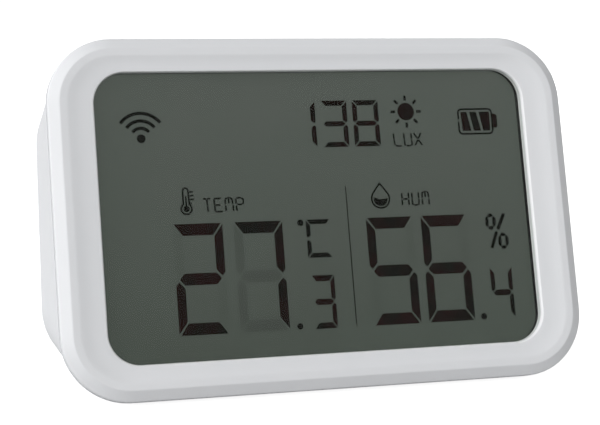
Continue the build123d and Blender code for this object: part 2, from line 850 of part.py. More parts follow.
with BuildPart() as rear_shell:
    add(shell_block)
    fillet(rear_shell.faces().sort_by(Axis((0, 0, 0), outward))[-1].edges(), shell_edge)
    add(wedge(shell_wall, overrun), mode=Mode.SUBTRACT)
    add(bay_block.part)
    add(clamps.part)
    with BuildSketch(rear_layer(bay_depth, y=bay_y)):
        Rectangle(bay_length, bay_height)
    extrude(amount=-shell_depth, mode=Mode.SUBTRACT)
    with BuildSketch(rear_layer(door_thickness + door_seat, y=bay_y)):
        RectangleRounded(door_length + 2 * door_gap, door_height + 2 * door_gap, door_radius + door_gap)
    extrude(amount=-2 * door_thickness, mode=Mode.SUBTRACT)
    with BuildSketch(rear_layer(bay_depth, bay_length / 2 - contact_thickness / 2, bay_y)):
        with GridLocations(tab_width, cell_pitch, 1, 2):
            Rectangle(contact_thickness + 2 * tab_gap, tab_width + 2 * tab_gap)
    extrude(amount=bay_floor + overrun, mode=Mode.SUBTRACT)
    with BuildSketch(layer(tube_floor - tube_floor_wall)):
        with Locations(*post_places):
            Circle(screw_head + board_hole_gap)
    extrude(amount=-shell_depth, mode=Mode.SUBTRACT)
    with BuildSketch(layer(tube_floor + overrun)):
        with Locations(*post_places):
            Circle(screw_shank + board_hole_gap)
    extrude(amount=-2 * overrun - tube_floor_wall, mode=Mode.SUBTRACT)
    with BuildSketch(layer(guide_front + overrun, button_x, button_y)):
        Circle(button_radius + button_gap)
    extrude(amount=-shell_depth, mode=Mode.SUBTRACT)
    with BuildSketch(upright(light_x, pipe_start + pipe_flange_height, light_height)):
        Circle(pipe_radius + fit_gap)
    extrude(amount=3 * shell_wall, mode=Mode.SUBTRACT)
    with BuildSketch(flank.offset(shell_half_width - 2 * shell_wall)):
        with Locations((vent_y, vent_height)):
            with GridLocations(vent_length, vent_pitch, 1, vent_count):
                SlotOverall(vent_length, vent_width)
    extrude(amount=3 * shell_wall, mode=Mode.SUBTRACT)
    rear_vent_height = wedge_slope * rear_vent_y - shell_depth
    with BuildSketch(layer(rear_vent_height + 3 * shell_wall, rear_vent_x, rear_vent_y)):
        with GridLocations(vent_pitch, rear_vent_length, rear_vent_count, 1):
            SlotOverall(rear_vent_length, vent_width, rotation=90)
    extrude(amount=-5 * shell_wall, mode=Mode.SUBTRACT)
    with BuildSketch(Plane.XY.offset(foot_standoff)):
        with Locations(*foot_places.values()):
            Circle(foot_radius + fit_gap)
    extrude(amount=foot_recess, mode=Mode.SUBTRACT)
    with BuildSketch(rear):
        with Locations((0, door_top + door_gap)):
            SlotOverall(notch_length, 2 * notch_width)
    extrude(amount=notch_depth, mode=Mode.SUBTRACT)
    add(
        snaps(snap_reach + snap_gap, snap_length + 2 * snap_gap, snap_height + 2 * snap_gap),
        mode=Mode.SUBTRACT,
    )

rear_shell.part.label = "rear_shell"
export_step(rear_shell.part, "parts/rear_shell.step")

# Battery door: a flush lid whose saddles steady the cells, with a grip between two slits
with BuildPart() as saddles:
    for x in (-door_rib_x, door_rib_x):
        with BuildSketch(back_flank.offset(x - door_rib / 2)):
            with Locations((bay_y, (door_thickness + door_rib_depth) / 2)):
                Rectangle(bay_height - 2 * door_gap, door_thickness + door_rib_depth)
            with Locations((lower_y, cell_depth), (upper_y, cell_depth)):
                Circle(cell_radius + door_rib_gap, mode=Mode.SUBTRACT)
        extrude(amount=door_rib)

with BuildPart() as battery_door:
    with BuildSketch(rear_layer(0, y=bay_y)):
        RectangleRounded(door_length, door_height, door_radius)
    extrude(amount=door_thickness)
    add(saddles.part)
    with BuildSketch(rear.offset(-overrun)):
        with Locations((0, door_top)):
            with GridLocations(door_slit_pitch, door_slit_length, 2, 1):
                SlotOverall(2 * door_slit_length, door_slit, rotation=90)
    extrude(amount=2 * overrun + door_thickness, mode=Mode.SUBTRACT)
    with BuildSketch(rear):
        with Locations((0, door_top - door_slit_length / 2)):
            with GridLocations(door_groove_length, door_groove_pitch, 1, door_groove_count):
                SlotOverall(door_groove_length, door_groove)
    extrude(amount=door_groove_depth, mode=Mode.SUBTRACT)

battery_door.part.label = "battery_door"
export_step(battery_door.part, "parts/battery_door.step")


# Two AAA cells side by side, in series, each with its raised nub on the plus end
def cell(y, side):
    """Cell whose plus end points to side, which is -1 or 1."""
    nub_end = side * (bay_length / 2 - contact_thickness - contact_dimple_height)
    with BuildPart() as can:
        with BuildSketch(back_flank.offset(nub_end - side * cell_length)):
            with Locations((y, cell_depth)):
                Circle(cell_radius)
        extrude(amount=side * (cell_length - cell_nub_height))
        chamfer(can.edges().filter_by(GeomType.CIRCLE), cell_edge)
        with BuildSketch(back_flank.offset(nub_end - side * cell_nub_height)):
            with Locations((y, cell_depth)):
                Circle(cell_nub_radius)
        extrude(amount=side * cell_nub_height)
    return can.part


with BuildPart() as cell_upper:
    add(cell(upper_y, 1))

cell_upper.part.label = "cell_upper"
export_step(cell_upper.part, "parts/cell_upper.step")

with BuildPart() as cell_lower:
    add(cell(lower_y, -1))

cell_lower.part.label = "cell_lower"
export_step(cell_lower.part, "parts/cell_lower.step")

# Sprung-steel contacts: a bridge at the left end, and a plus and a minus plate at the right
# whose tabs pass the bay floor and reach the board
with BuildPart() as contact_bridge:
    with BuildSketch(back_flank.offset(-bay_length / 2)):
        with Locations((bay_y, cell_depth)):
            Rectangle(cell_pitch + contact_width, contact_reach)
    extrude(amount=contact_thickness)
    with BuildSketch(back_flank.offset(contact_thickness - bay_length / 2)):
        with Locations((lower_y, cell_depth)):
            Circle(contact_dimple)
    extrude(amount=contact_dimple_height)

contact_bridge.part.label = "contact_bridge"
export_step(contact_bridge.part, "parts/contact_bridge.step")


def end_plate(y):
    """Contact plate at the right end with its tab up to the board."""
    with BuildPart() as plate:
        with BuildSketch(back_flank.offset(bay_length / 2)):
            with Locations((y, cell_depth)):
                Rectangle(contact_width, contact_reach)
            with Locations((y, cell_depth + shell_depth / 2)):
                Rectangle(tab_width, shell_depth)
        extrude(amount=-contact_thickness)
        split(bisect_by=layer(board_back), keep=Keep.BOTTOM)
    return plate.part


with BuildPart() as contact_plus:
    add(end_plate(upper_y))
    with BuildSketch(back_flank.offset(bay_length / 2 - contact_thickness)):
        with Locations((upper_y, cell_depth)):
            Circle(contact_dimple)
    extrude(amount=-contact_dimple_height)

contact_plus.part.label = "contact_plus"
export_step(contact_plus.part, "parts/contact_plus.step")

with BuildPart() as contact_minus:
    add(end_plate(lower_y))

contact_minus.part.label = "contact_minus"
export_step(contact_minus.part, "parts/contact_minus.step")

# Conical springs behind the minus ends: one unbroken wire each, on arcs that keep their
# tangent, two for each quarter turn
spring_length = bay_length - 2 * contact_thickness - contact_dimple_height - cell_length
spring_rise = spring_length - 2 * spring_wire - spring_gap
quarters = 4 * spring_turns


def coil(step):
    """Point and direction of the wire after a number of quarter turns."""
    share = step / quarters
    radius = spring_base + (spring_tip - spring_base) * share
    change = (spring_tip - spring_base) / quarters
    across = Vector(1, 0, 0).rotate(Axis.Z, 90 * step)
    along = Vector(0, 1, 0).rotate(Axis.Z, 90 * step)
    point = across * radius + Vector(0, 0, spring_wire + spring_rise * share)
    direction = along * (radius * radians(90)) + across * change + Vector(0, 0, spring_rise / quarters)
    return point, direction.normalized()


with BuildPart() as spring:
    with BuildLine() as wire:
        for quarter in range(quarters):
            start, start_way = coil(quarter)
            end, end_way = coil(quarter + 1)
            chord = end - start
            both = start_way + end_way
            spread = 2 * (1 - start_way.dot(end_way))
            reach = chord.dot(both)
            handle = ((reach**2 + spread * chord.dot(chord)) ** 0.5 - reach) / spread
            middle = (start + start_way * handle + end - end_way * handle) / 2
            middle_way = end - end_way * handle - start - start_way * handle
            TangentArc(start, middle, tangent=start_way)
            TangentArc(middle, end, tangent=middle_way)
    with BuildSketch(Plane(origin=coil(0)[0], z_dir=coil(0)[1])):
        RegularPolygon(spring_wire, spring_sides)
    sweep(path=wire.line)

turn_gap = min((coil(step + 4)[0] - coil(step)[0]).length for step in range(quarters - 3)) - 2 * spring_wire
print("least gap between the spring's turns", round(turn_gap, 2))

left_seat = Plane(
    origin=rear.from_local_coords((contact_thickness - bay_length / 2, upper_y, cell_depth)),
    z_dir=(1, 0, 0),
)
right_seat = Plane(
    origin=rear.from_local_coords((bay_length / 2 - contact_thickness, lower_y, cell_depth)),
    z_dir=(-1, 0, 0),
)
with BuildPart() as contact_springs:
    add(spring.part.moved(left_seat.location))
    add(spring.part.moved(right_seat.location))

contact_springs.part.label = "contact_springs"
export_step(contact_springs.part, "parts/contact_springs.step")

# Rubber feet pressed into the recesses of the level underside
for place, centre in foot_places.items():
    with BuildPart() as foot:
        with BuildSketch(Plane(origin=(*centre, 0))):
            Circle(foot_radius)
        extrude(amount=foot_standoff + foot_recess)
        chamfer(foot.edges().group_by(Axis.Z)[0], foot_edge)
    foot.part.label = "foot_" + place
    export_step(foot.part, "parts/foot_" + place + ".step")
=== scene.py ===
# %% [markdown]
# A desk sensor for temperature and humidity: a white frame round a grey-green liquid crystal
# display, on a wedge-shaped case that leans it back. The solids come in first, in metres, as a
# frame that nothing here moves. Everything below dresses them or stands in for one of them.

import json
import math

import bmesh
import bpy
from mathutils import Matrix, Vector

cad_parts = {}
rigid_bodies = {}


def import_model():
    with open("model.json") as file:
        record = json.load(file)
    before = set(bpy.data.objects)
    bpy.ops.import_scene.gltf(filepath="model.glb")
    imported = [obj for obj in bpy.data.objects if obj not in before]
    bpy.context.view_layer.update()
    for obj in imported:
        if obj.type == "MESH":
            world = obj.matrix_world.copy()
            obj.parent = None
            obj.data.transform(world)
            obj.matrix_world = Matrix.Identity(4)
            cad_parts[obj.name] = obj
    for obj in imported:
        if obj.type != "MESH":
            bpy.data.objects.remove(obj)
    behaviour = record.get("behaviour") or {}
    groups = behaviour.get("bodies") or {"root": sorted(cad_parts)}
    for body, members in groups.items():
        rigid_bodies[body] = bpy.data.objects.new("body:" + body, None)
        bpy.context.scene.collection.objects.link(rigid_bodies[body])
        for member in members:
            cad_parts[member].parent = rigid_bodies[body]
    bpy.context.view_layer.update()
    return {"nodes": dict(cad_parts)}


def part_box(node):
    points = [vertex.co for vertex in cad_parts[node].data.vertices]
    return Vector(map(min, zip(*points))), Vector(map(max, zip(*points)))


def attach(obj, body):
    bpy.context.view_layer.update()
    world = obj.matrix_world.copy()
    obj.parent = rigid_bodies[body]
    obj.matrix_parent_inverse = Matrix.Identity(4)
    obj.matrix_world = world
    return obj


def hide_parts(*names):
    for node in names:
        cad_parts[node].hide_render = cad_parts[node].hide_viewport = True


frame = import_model()
scene_objects = bpy.context.scene.collection.objects


def rounded(place):
    """A place to a tenth of a millimetre, for printing."""
    return tuple(round(value, 4) for value in place)


# %% [markdown]
# The face leans back, so it is easier to think in its own directions: across, up the face and
# out of it. The clear window is a flat plate, so the middle of its box is the middle of the
# plate, and half a thickness further out is the point that all places on the face start from.

# %% Directions and places on the face
mm = 0.001
face_lean = math.radians(14.74)
window_thickness = 0.8

across = Vector((1, 0, 0))
upward = Vector((0, math.sin(face_lean), math.cos(face_lean)))
outward = Vector((0, -math.cos(face_lean), math.sin(face_lean)))
window_low, window_high = (Vector(corner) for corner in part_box("display_window"))
face_centre = (window_low + window_high) / 2 + outward * window_thickness / 2 * mm


def on_face(x, y, height=0.0):
    """A place in metres from millimetres across, up and out of the window's middle."""
    return face_centre + (across * x + upward * y + outward * height) * mm


print("middle of the face", rounded(face_centre))

# %% [markdown]
# The camera stands where the photographer stood. Its place was worked out from the straight
# edges of the frame: a little to the left of the face and a little above the table. A long
# lens keeps the perspective as mild as it is in the picture.

# %% Camera
camera_place = on_face(-84.56, -35.47, 252.62)
camera_right = across * 0.9528 + upward * -0.0773 + outward * 0.2937
camera_down = across * -0.0343 + upward * -0.9883 + outward * -0.1488
camera_ahead = across * 0.3018 + upward * 0.1317 + outward * -0.9442

camera_data = bpy.data.cameras.new("camera")
camera_data.sensor_width = 36.0
camera_data.lens = 100.66
camera_data.clip_start = 0.01
camera_data.clip_end = 60.0
camera = bpy.data.objects.new("camera", camera_data)
turn = Matrix((camera_right, -camera_down, -camera_ahead)).transposed()
camera.matrix_world = Matrix.Translation(camera_place) @ turn.to_4x4()
scene_objects.link(camera)
bpy.context.scene.camera = camera
bpy.context.scene.view_settings.view_transform = "Standard"
print("camera stands", round((camera_place - face_centre).length, 3), "m from the face")

# %% [markdown]
# Light, finishes and repeated shapes are all worked out by nodes. These helpers write a node
# with its values and links in one line, so the trees below stay as short as a recipe.

# %% Helpers for nodes
def feed(tree, node, inputs):
    """Give a node its input values and the links that come into it."""
    for name, value in inputs.items():
        if isinstance(value, bpy.types.NodeSocket):
            tree.links.new(value, node.inputs[name])
        else:
            node.inputs[name].default_value = value


def add_node(tree, kind, inputs=None, **settings):
    """A new node with its settings, values and links."""
    made = tree.nodes.new(kind)
    for name, value in settings.items():
        setattr(made, name, value)
    feed(tree, made, inputs or {})
    return made


def maths(tree, operation, *values):
    """The result of one sum in a tree; the values are numbers or sockets."""
    return add_node(tree, "ShaderNodeMath", dict(enumerate(values)), operation=operation).outputs[0]


def new_material(name):
    """A new material, its tree and its Principled shader."""
    material = bpy.data.materials.new(name)
    material.use_nodes = True
    return material, material.node_tree, material.node_tree.nodes["Principled BSDF"]


# %% [markdown]
# Soft white studio light. The picture has one very broad light on the left: the left flank is
# almost white, the right one a clear grey, and no edge throws a hard shadow. So the sky is a
# very dim even white with a wide glow on the left and a weaker one in front. A lamp behind
# keeps the back from going dark and can't be seen from the front. The camera sees the sky as
# plain white, whatever light it gives to the object.

# %% Studio
even_glow = 0.02
left_glow = 2.58
front_glow = 1.1
left_glow_from = Vector((-0.96, -0.05, 0.27))
front_glow_from = Vector((0.0, -0.99, 0.1))
sky_for_camera = 1.05
back_lamp_from = Vector((0.60, 0.75, 0.30))
back_lamp_distance = 1.5
back_lamp_size = 0.9
back_lamp_power = 10.0

world = bpy.data.worlds.new("studio_sky")
bpy.context.scene.world = world
world.use_nodes = True
sky = world.node_tree
sky_direction = add_node(sky, "ShaderNodeTexCoord").outputs["Generated"]


def wide_glow(direction, strength):
    """A glow that falls off with the square of the cosine from its direction."""
    side = add_node(sky, "ShaderNodeVectorMath", {0: sky_direction, 1: direction}, operation="DOT_PRODUCT")
    facing = maths(sky, "MAXIMUM", side.outputs["Value"], 0.0)
    return maths(sky, "MULTIPLY", maths(sky, "POWER", facing, 2.0), strength)


glows = maths(sky, "ADD", wide_glow(left_glow_from, left_glow), wide_glow(front_glow_from, front_glow))
sky_light = maths(sky, "ADD", glows, even_glow)
sky_seen = add_node(sky, "ShaderNodeLightPath").outputs["Is Camera Ray"]
sky_strength = add_node(sky, "ShaderNodeMix", {0: sky_seen, 2: sky_light, 3: sky_for_camera}).outputs[0]
feed(sky, sky.nodes["Background"], {"Color": (1, 1, 1, 1), "Strength": sky_strength})

lamp_data = bpy.data.lights.new("back_lamp", "AREA")
lamp_data.shape = "DISK"
lamp_data.size = back_lamp_size
lamp_data.energy = back_lamp_power
back_lamp = bpy.data.objects.new("back_lamp", lamp_data)
back_lamp.location = face_centre + back_lamp_from * back_lamp_distance
back_lamp.rotation_euler = back_lamp_from.to_track_quat("Z", "Y").to_euler()
scene_objects.link(back_lamp)
print("sky glows", even_glow, left_glow, front_glow, "lamp behind", back_lamp_power, "W")

# %% [markdown]
# The table is one wide pale square. It throws some of the light back at the underside of the
# frame, as a real table does, and the camera sees it as plain white like the sky.

# %% Floor
floor_size = 30.0
floor_white = 0.5
floor_glow = 0.9
quarters = ((1, 1), (-1, 1), (-1, -1), (1, -1))

floor_mesh = bpy.data.meshes.new("floor")
floor_corners = [(x * floor_size / 2, y * floor_size / 2, 0) for x, y in quarters]
floor_mesh.from_pydata(floor_corners, [], [(0, 1, 2, 3)])
floor = bpy.data.objects.new("floor", floor_mesh)
scene_objects.link(floor)
floor_look, floor_tree, floor_shader = new_material("pale_floor")
floor_seen = add_node(floor_tree, "ShaderNodeLightPath").outputs["Is Camera Ray"]
floor_values = {
    "Base Color": (floor_white, floor_white, floor_white, 1),
    "Roughness": 1.0,
    "Specular IOR Level": 0.0,
    "Emission Color": (1, 1, 1, 1),
    "Emission Strength": maths(floor_tree, "MULTIPLY", floor_seen, floor_glow),
}
feed(floor_tree, floor_shader, floor_values)
floor_mesh.materials.append(floor_look)
print("floor", floor_size, "m wide")

# %% [markdown]
# Every finish is built the same way. A shader group works out what changes over the surface,
# which is colour, roughness and relief, and the Principled shader in the material itself
# holds what stays the same. So one group serves many materials, each with its own values.

# %% Helpers for shader groups and materials
relief_depth = 0.0001


def new_group(name, inputs):
    """An empty shader group with its values and colours, and what comes in from them."""
    group = bpy.data.node_groups.new(name, "ShaderNodeTree")
    for label, value in inputs.items():
        kind = "NodeSocketColor" if isinstance(value, tuple) else "NodeSocketFloat"
        group.interface.new_socket(label, in_out="INPUT", socket_type=kind).default_value = value
    for label, kind in (("Colour", "Color"), ("Roughness", "Float"), ("Normal", "Vector")):
        group.interface.new_socket(label, in_out="OUTPUT", socket_type="NodeSocket" + kind)
    return group, group.nodes.new("NodeGroupInput").outputs


def put_out(group, shade, roughness, normal):
    """The end of a group: its colour, its roughness and its relief."""
    add_node(group, "NodeGroupOutput", {"Colour": shade, "Roughness": roughness, "Normal": normal})


def object_place(tree):
    """The place on the object that a pattern is fixed to."""
    return add_node(tree, "ShaderNodeTexCoord").outputs["Object"]


def noise(tree, place, per_metre, detail=2.0):
    """A soft random pattern with so many patches to the metre."""
    inputs = {"Vector": place, "Scale": per_metre, "Detail": detail}
    return add_node(tree, "ShaderNodeTexNoise", inputs).outputs["Fac"]


def spread(tree, value, low=0.0, high=1.0, to_low=0.0, to_high=1.0):
    """A value taken from one range to another."""
    inputs = {"Value": value, "From Min": low, "From Max": high, "To Min": to_low, "To Max": to_high}
    return add_node(tree, "ShaderNodeMapRange", inputs).outputs["Result"]


def blend_colours(tree, share, first, second):
    """The first colour where the share is 0, the second where it is 1."""
    return add_node(tree, "ShaderNodeMix", {0: share, 6: first, 7: second}, data_type="RGBA").outputs[2]


def bump(tree, strength, height):
    """A relief of at most a tenth of a millimetre."""
    inputs = {"Strength": strength, "Distance": relief_depth, "Height": height}
    return add_node(tree, "ShaderNodeBump", inputs).outputs["Normal"]


def colour(red, green, blue):
    """A linear colour from the eight-bit values that a picture shows."""
    shares = [value / 255 for value in (red, green, blue)]
    linear = [share / 12.92 if share <= 0.04045 else ((share + 0.055) / 1.055) ** 2.4 for share in shares]
    return (*linear, 1.0)


def finish(name, group, values, **fixed):
    """A material that takes colour, roughness and normal from a group, and the rest as fixed values."""
    material, tree, shader = new_material(name)
    look = add_node(tree, "ShaderNodeGroup", values, node_tree=group).outputs
    looks = {"Base Color": look["Colour"], "Roughness": look["Roughness"], "Normal": look["Normal"]}
    feed(tree, shader, looks)
    feed(tree, shader, {label.replace("_", " "): value for label, value in fixed.items()})
    return material


# %% [markdown]
# Moulded plastic copies the skin of its steel mould: a very fine sparked grain, a gloss that
# differs a little from place to place, and a hardly visible drift of colour. Two noises do
# it, one a few tenths of a millimetre across for the relief and one centimetres across for
# the drift. Rubber and ink are the same skin with other values. The edge of the lip gets a
# lighter and glossier finish of its own: the lighter colour is a painted highlight.

# %% Moulded skin
skin, skin_in = new_group("moulded_skin", {
    "Colour": (0.8, 0.8, 0.8, 1),
    "Drift colour": (0.75, 0.75, 0.75, 1),
    "Grain per metre": 4000.0,
    "Patches per metre": 45.0,
    "Roughness": 0.45,
    "Roughness spread": 0.06,
    "Relief": 0.1,
})
skin_place = object_place(skin)
patches = noise(skin, skin_place, skin_in["Patches per metre"], detail=3.0)
drift = spread(skin, patches, low=0.35, high=0.65)
sway = maths(skin, "SUBTRACT", patches, 0.5)
put_out(
    skin,
    blend_colours(skin, drift, skin_in["Colour"], skin_in["Drift colour"]),
    maths(skin, "MULTIPLY_ADD", sway, skin_in["Roughness spread"], skin_in["Roughness"]),
    bump(skin, skin_in["Relief"], noise(skin, skin_place, skin_in["Grain per metre"])),
)


def moulded(name, shade, drift_shade, roughness, relief, grain=4000.0, **fixed):
    """A moulded finish: its colour, the colour it drifts to, roughness, relief and grain per metre."""
    values = {"Colour": (*shade, 1), "Drift colour": (*drift_shade, 1)}
    values |= {"Roughness": roughness, "Relief": relief, "Grain per metre": grain}
    return finish(name, skin, values, **fixed)


def ink(name, shade, drift_shade):
    """Flat dark ink that drifts from segment to segment."""
    values = {"Colour": shade, "Drift colour": drift_shade, "Patches per metre": 260.0}
    values |= {"Roughness": 0.5, "Relief": 0.0}
    return finish(name, skin, values, Specular_IOR_Level=0.05)


white_plastic = moulded("white_plastic", (0.80, 0.81, 0.83), (0.785, 0.797, 0.818), 0.42, 0.08, 5200.0)
case_plastic = moulded("case_plastic", (0.79, 0.80, 0.82), (0.77, 0.782, 0.805), 0.52, 0.22, 3400.0)
# painted highlight: the lip's edge is coloured lighter than the frame around it
lip_painted_highlight = moulded("lip_painted_highlight", (0.93, 0.94, 0.95), (0.91, 0.92, 0.935), 0.3, 0.05, 5200.0)
# painted shade: the lip's inner wall is coloured greyer than the frame, standing in for its shade and a
# painted reflection of the dark display
lip_wall_painted_shade = moulded("lip_wall_painted_shade", (0.60, 0.63, 0.615), (0.58, 0.61, 0.595), 0.5, 0.08, 5200.0)
holder_plastic = moulded("holder_plastic", (0.74, 0.74, 0.72), (0.70, 0.70, 0.68), 0.6, 0.3)
black_resin = moulded("black_resin", (0.02, 0.02, 0.022), (0.03, 0.03, 0.032), 0.55, 0.5)
dark_rubber = moulded("dark_rubber", (0.012, 0.012, 0.012), (0.02, 0.02, 0.02), 0.8, 0.3)
foot_rubber = moulded("foot_rubber", (0.10, 0.10, 0.105), (0.14, 0.14, 0.145), 0.85, 0.5, 2600.0)
segment_ink = ink("segment_ink", colour(12, 15, 9), colour(30, 11, 9))
sign_ink = ink("sign_ink", colour(9, 12, 7), colour(14, 15, 10))
print("moulded finishes made:", skin.users)

# %% [markdown]
# Plated and drawn metal shows fine lines along the way it was drawn. A noise that is
# stretched along one direction gives both the lines' relief and the streaks in their gloss.

# %% Drawn metal
line_stretch = 0.04
streak_gloss = 0.25

metal, metal_in = new_group("drawn_metal", {
    "Colour": (0.6, 0.6, 0.58, 1),
    "Dull colour": (0.45, 0.45, 0.43, 1),
    "Lines per metre": 3000.0,
    "Roughness": 0.3,
    "Relief": 0.15,
})
drawn_out = {"Vector": object_place(metal), "Scale": (line_stretch, 1.0, 1.0)}
stretched = add_node(metal, "ShaderNodeMapping", drawn_out).outputs["Vector"]
lines = noise(metal, stretched, metal_in["Lines per metre"], detail=3.0)
put_out(
    metal,
    blend_colours(metal, lines, metal_in["Colour"], metal_in["Dull colour"]),
    maths(metal, "MULTIPLY_ADD", lines, streak_gloss, metal_in["Roughness"]),
    bump(metal, metal_in["Relief"], lines),
)


def plated(name, shade, dull_shade, roughness, lines_per_metre=3000.0, metallic=1.0):
    """A metal finish: its bright and dull colours, its roughness and how fine its lines are."""
    values = {"Colour": (*shade, 1), "Dull colour": (*dull_shade, 1)}
    values |= {"Roughness": roughness, "Lines per metre": lines_per_metre}
    return finish(name, metal, values, Metallic=metallic)


nickel = plated("nickel", (0.62, 0.60, 0.55), (0.5, 0.48, 0.44), 0.18)
zinc = plated("zinc", (0.6, 0.61, 0.62), (0.42, 0.44, 0.46), 0.3)
tinplate = plated("tinplate", (0.66, 0.66, 0.64), (0.55, 0.55, 0.53), 0.28, 1500.0)
silvered_film = plated("silvered_film", (0.4, 0.43, 0.38), (0.33, 0.36, 0.31), 0.5, 900.0, metallic=0.6)
print("metal finishes made:", metal.users)

# %% [markdown]
# A circuit board is green lacquer over copper. The tracks lie under the lacquer as slightly
# raised, lighter lines. A brick pattern's joints make believable tracks at this size, and
# seen through the vents that is all there is to see.

# %% Circuit board
board_values = {
    "Lacquer": colour(18, 74, 42),
    "Over copper": colour(34, 108, 62),
    "Tracks per metre": 260.0,
}
board, board_in = new_group("track_board", board_values)
laid_flat = {"Vector": object_place(board), "Rotation": (math.pi / 2 - face_lean, 0, 0)}
flat_board = add_node(board, "ShaderNodeMapping", laid_flat)
bricks = {
    "Vector": flat_board.outputs["Vector"],
    "Scale": board_in["Tracks per metre"],
    "Mortar Size": 0.03,
    "Mortar Smooth": 0.1,
}
tracks = add_node(board, "ShaderNodeTexBrick", bricks, offset=0.37, squash=1.6).outputs["Fac"]
put_out(
    board,
    blend_colours(board, tracks, board_in["Lacquer"], board_in["Over copper"]),
    spread(board, tracks, to_low=0.38, to_high=0.26),
    bump(board, strength=0.4, height=tracks),
)
green_board = finish("green_board", board, {})
print("board tracks per metre", board_values["Tracks per metre"])

# %% [markdown]
# The resting field of the display is a grey-green haze, slightly lighter towards the top, a
# painted shade of the light falling from above, with faint cloudy patches where the film and
# the glass aren't perfectly even. The height of a place gives the slope of colour, and a
# broad noise the patches. Segments that are off are the same field, a little darker: plain to
# see beside the 7, hardly there elsewhere.

# %% Display field
clouds_per_metre = 60.0
haze_per_metre = 6000.0
# painted glow: the display gives off light of its own, so that the frame's shade hardly falls on it
display_painted_glow = 2.38

field, field_in = new_group("display_field", {
    "Top colour": colour(84, 91, 84),
    "Bottom colour": colour(72, 80, 73),
    "Cloud colour": colour(76, 86, 82),
    "Bottom height": 0.008,
    "Top height": 0.050,
})
field_place = object_place(field)
field_height = add_node(field, "ShaderNodeSeparateXYZ", {"Vector": field_place}).outputs["Z"]
# painted shade: the colour slope by height stands for light falling from above
rise = spread(field, field_height, field_in["Bottom height"], field_in["Top height"])
slope = blend_colours(field, rise, field_in["Bottom colour"], field_in["Top colour"])
clouds = noise(field, field_place, clouds_per_metre)
cloud_share = spread(field, clouds, low=0.4, high=0.8, to_high=0.5)
put_out(
    field,
    blend_colours(field, cloud_share, slope, field_in["Cloud colour"]),
    spread(field, clouds, to_low=0.5, to_high=0.6),
    bump(field, strength=0.05, height=noise(field, field_place, haze_per_metre)),
)


def display_finish(name, top, bottom, cloud):
    """The display's haze, partly a painted glow of its own, so that the frame hardly shades it."""
    values = {"Top colour": top, "Bottom colour": bottom, "Cloud colour": cloud}
    material = finish(name, field, values, Specular_IOR_Level=0.1)
    shader = material.node_tree.nodes["Principled BSDF"]
    haze_colour = shader.inputs["Base Color"].links[0].from_socket
    feed(material.node_tree, shader, {"Emission Color": haze_colour, "Emission Strength": display_painted_glow})
    return material


# the field and both kinds of off segment all take the painted glow
field_film = display_finish("field_film", colour(47, 50, 47), colour(38, 42, 38), colour(42, 47, 43))
ghost_ink = display_finish("ghost_ink", colour(41, 44, 41), colour(33, 36, 33), colour(36, 41, 37))
faint_ink = display_finish("faint_ink", colour(45, 48, 45), colour(36, 40, 36), colour(40, 45, 41))
print("display finishes made:", field.users)

# %% [markdown]
# Clear pieces: the window over the display, the panes of the display and the small light
# pipe. The window would put the display in its shadow, so for the rays that go to the lamps
# it counts as open air. That is a mix with a Transparent shader by Is Shadow Ray.

# %% Glass and clear resin
resin_index = 1.49
ripples_per_metre = 120.0


def clear_finish(name, tint, roughness, relief=0.01, mirror=1.0):
    """Clear glass or resin, open to the lamps' rays; mirror is how much of the room it shows."""
    values = {"Colour": tint, "Drift colour": tint, "Grain per metre": ripples_per_metre}
    values |= {"Roughness": roughness, "Roughness spread": roughness / 2, "Relief": relief}
    mirror_tint = (mirror, mirror, mirror, 1)
    material = finish(name, skin, values, Transmission_Weight=1.0, IOR=resin_index, Specular_Tint=mirror_tint)
    tree = material.node_tree
    to_lamp = add_node(tree, "ShaderNodeLightPath").outputs["Is Shadow Ray"]
    clear = tree.nodes["Principled BSDF"].outputs["BSDF"]
    air = add_node(tree, "ShaderNodeBsdfTransparent", {"Color": tint}).outputs["BSDF"]
    mixed = add_node(tree, "ShaderNodeMixShader", {0: to_lamp, 1: clear, 2: air}).outputs["Shader"]
    feed(tree, tree.nodes["Material Output"], {"Surface": mixed})
    return material


window_clear = clear_finish("window_clear", (0.97, 0.98, 0.97, 1), roughness=0.03, mirror=0.1)
pane_clear = clear_finish("pane_clear", (0.88, 0.92, 0.88, 1), roughness=0.05)
resin_clear = clear_finish("resin_clear", (0.95, 0.95, 0.92, 1), roughness=0.12, relief=0.03)
milky = {"Transmission_Weight": 0.4, "IOR": resin_index}
guide_resin = moulded("guide_resin", (0.74, 0.75, 0.73), (0.70, 0.71, 0.69), 0.32, 0.15, **milky)
print("finishes on the moulded skin, with the clear ones:", skin.users)

# %% [markdown]
# The cells are steel cans in a printed sleeve, with bare metal at both ends. The sleeve is
# worked out along the cell's length: a dark grey-blue body, a light ring near the plus end, a
# bluer band beyond it and bare tinned steel outside them.

# %% Cell sleeve
scuffs_per_metre = 900.0
bare_steel = (0.62, 0.62, 0.6, 1)
plus_cap = 0.955
sleeve_bands = (
    (0.0, bare_steel),
    (0.012, (0.035, 0.055, 0.10, 1)),
    (0.80, (0.45, 0.47, 0.5, 1)),
    (0.83, (0.05, 0.16, 0.30, 1)),
    (plus_cap, bare_steel),
)


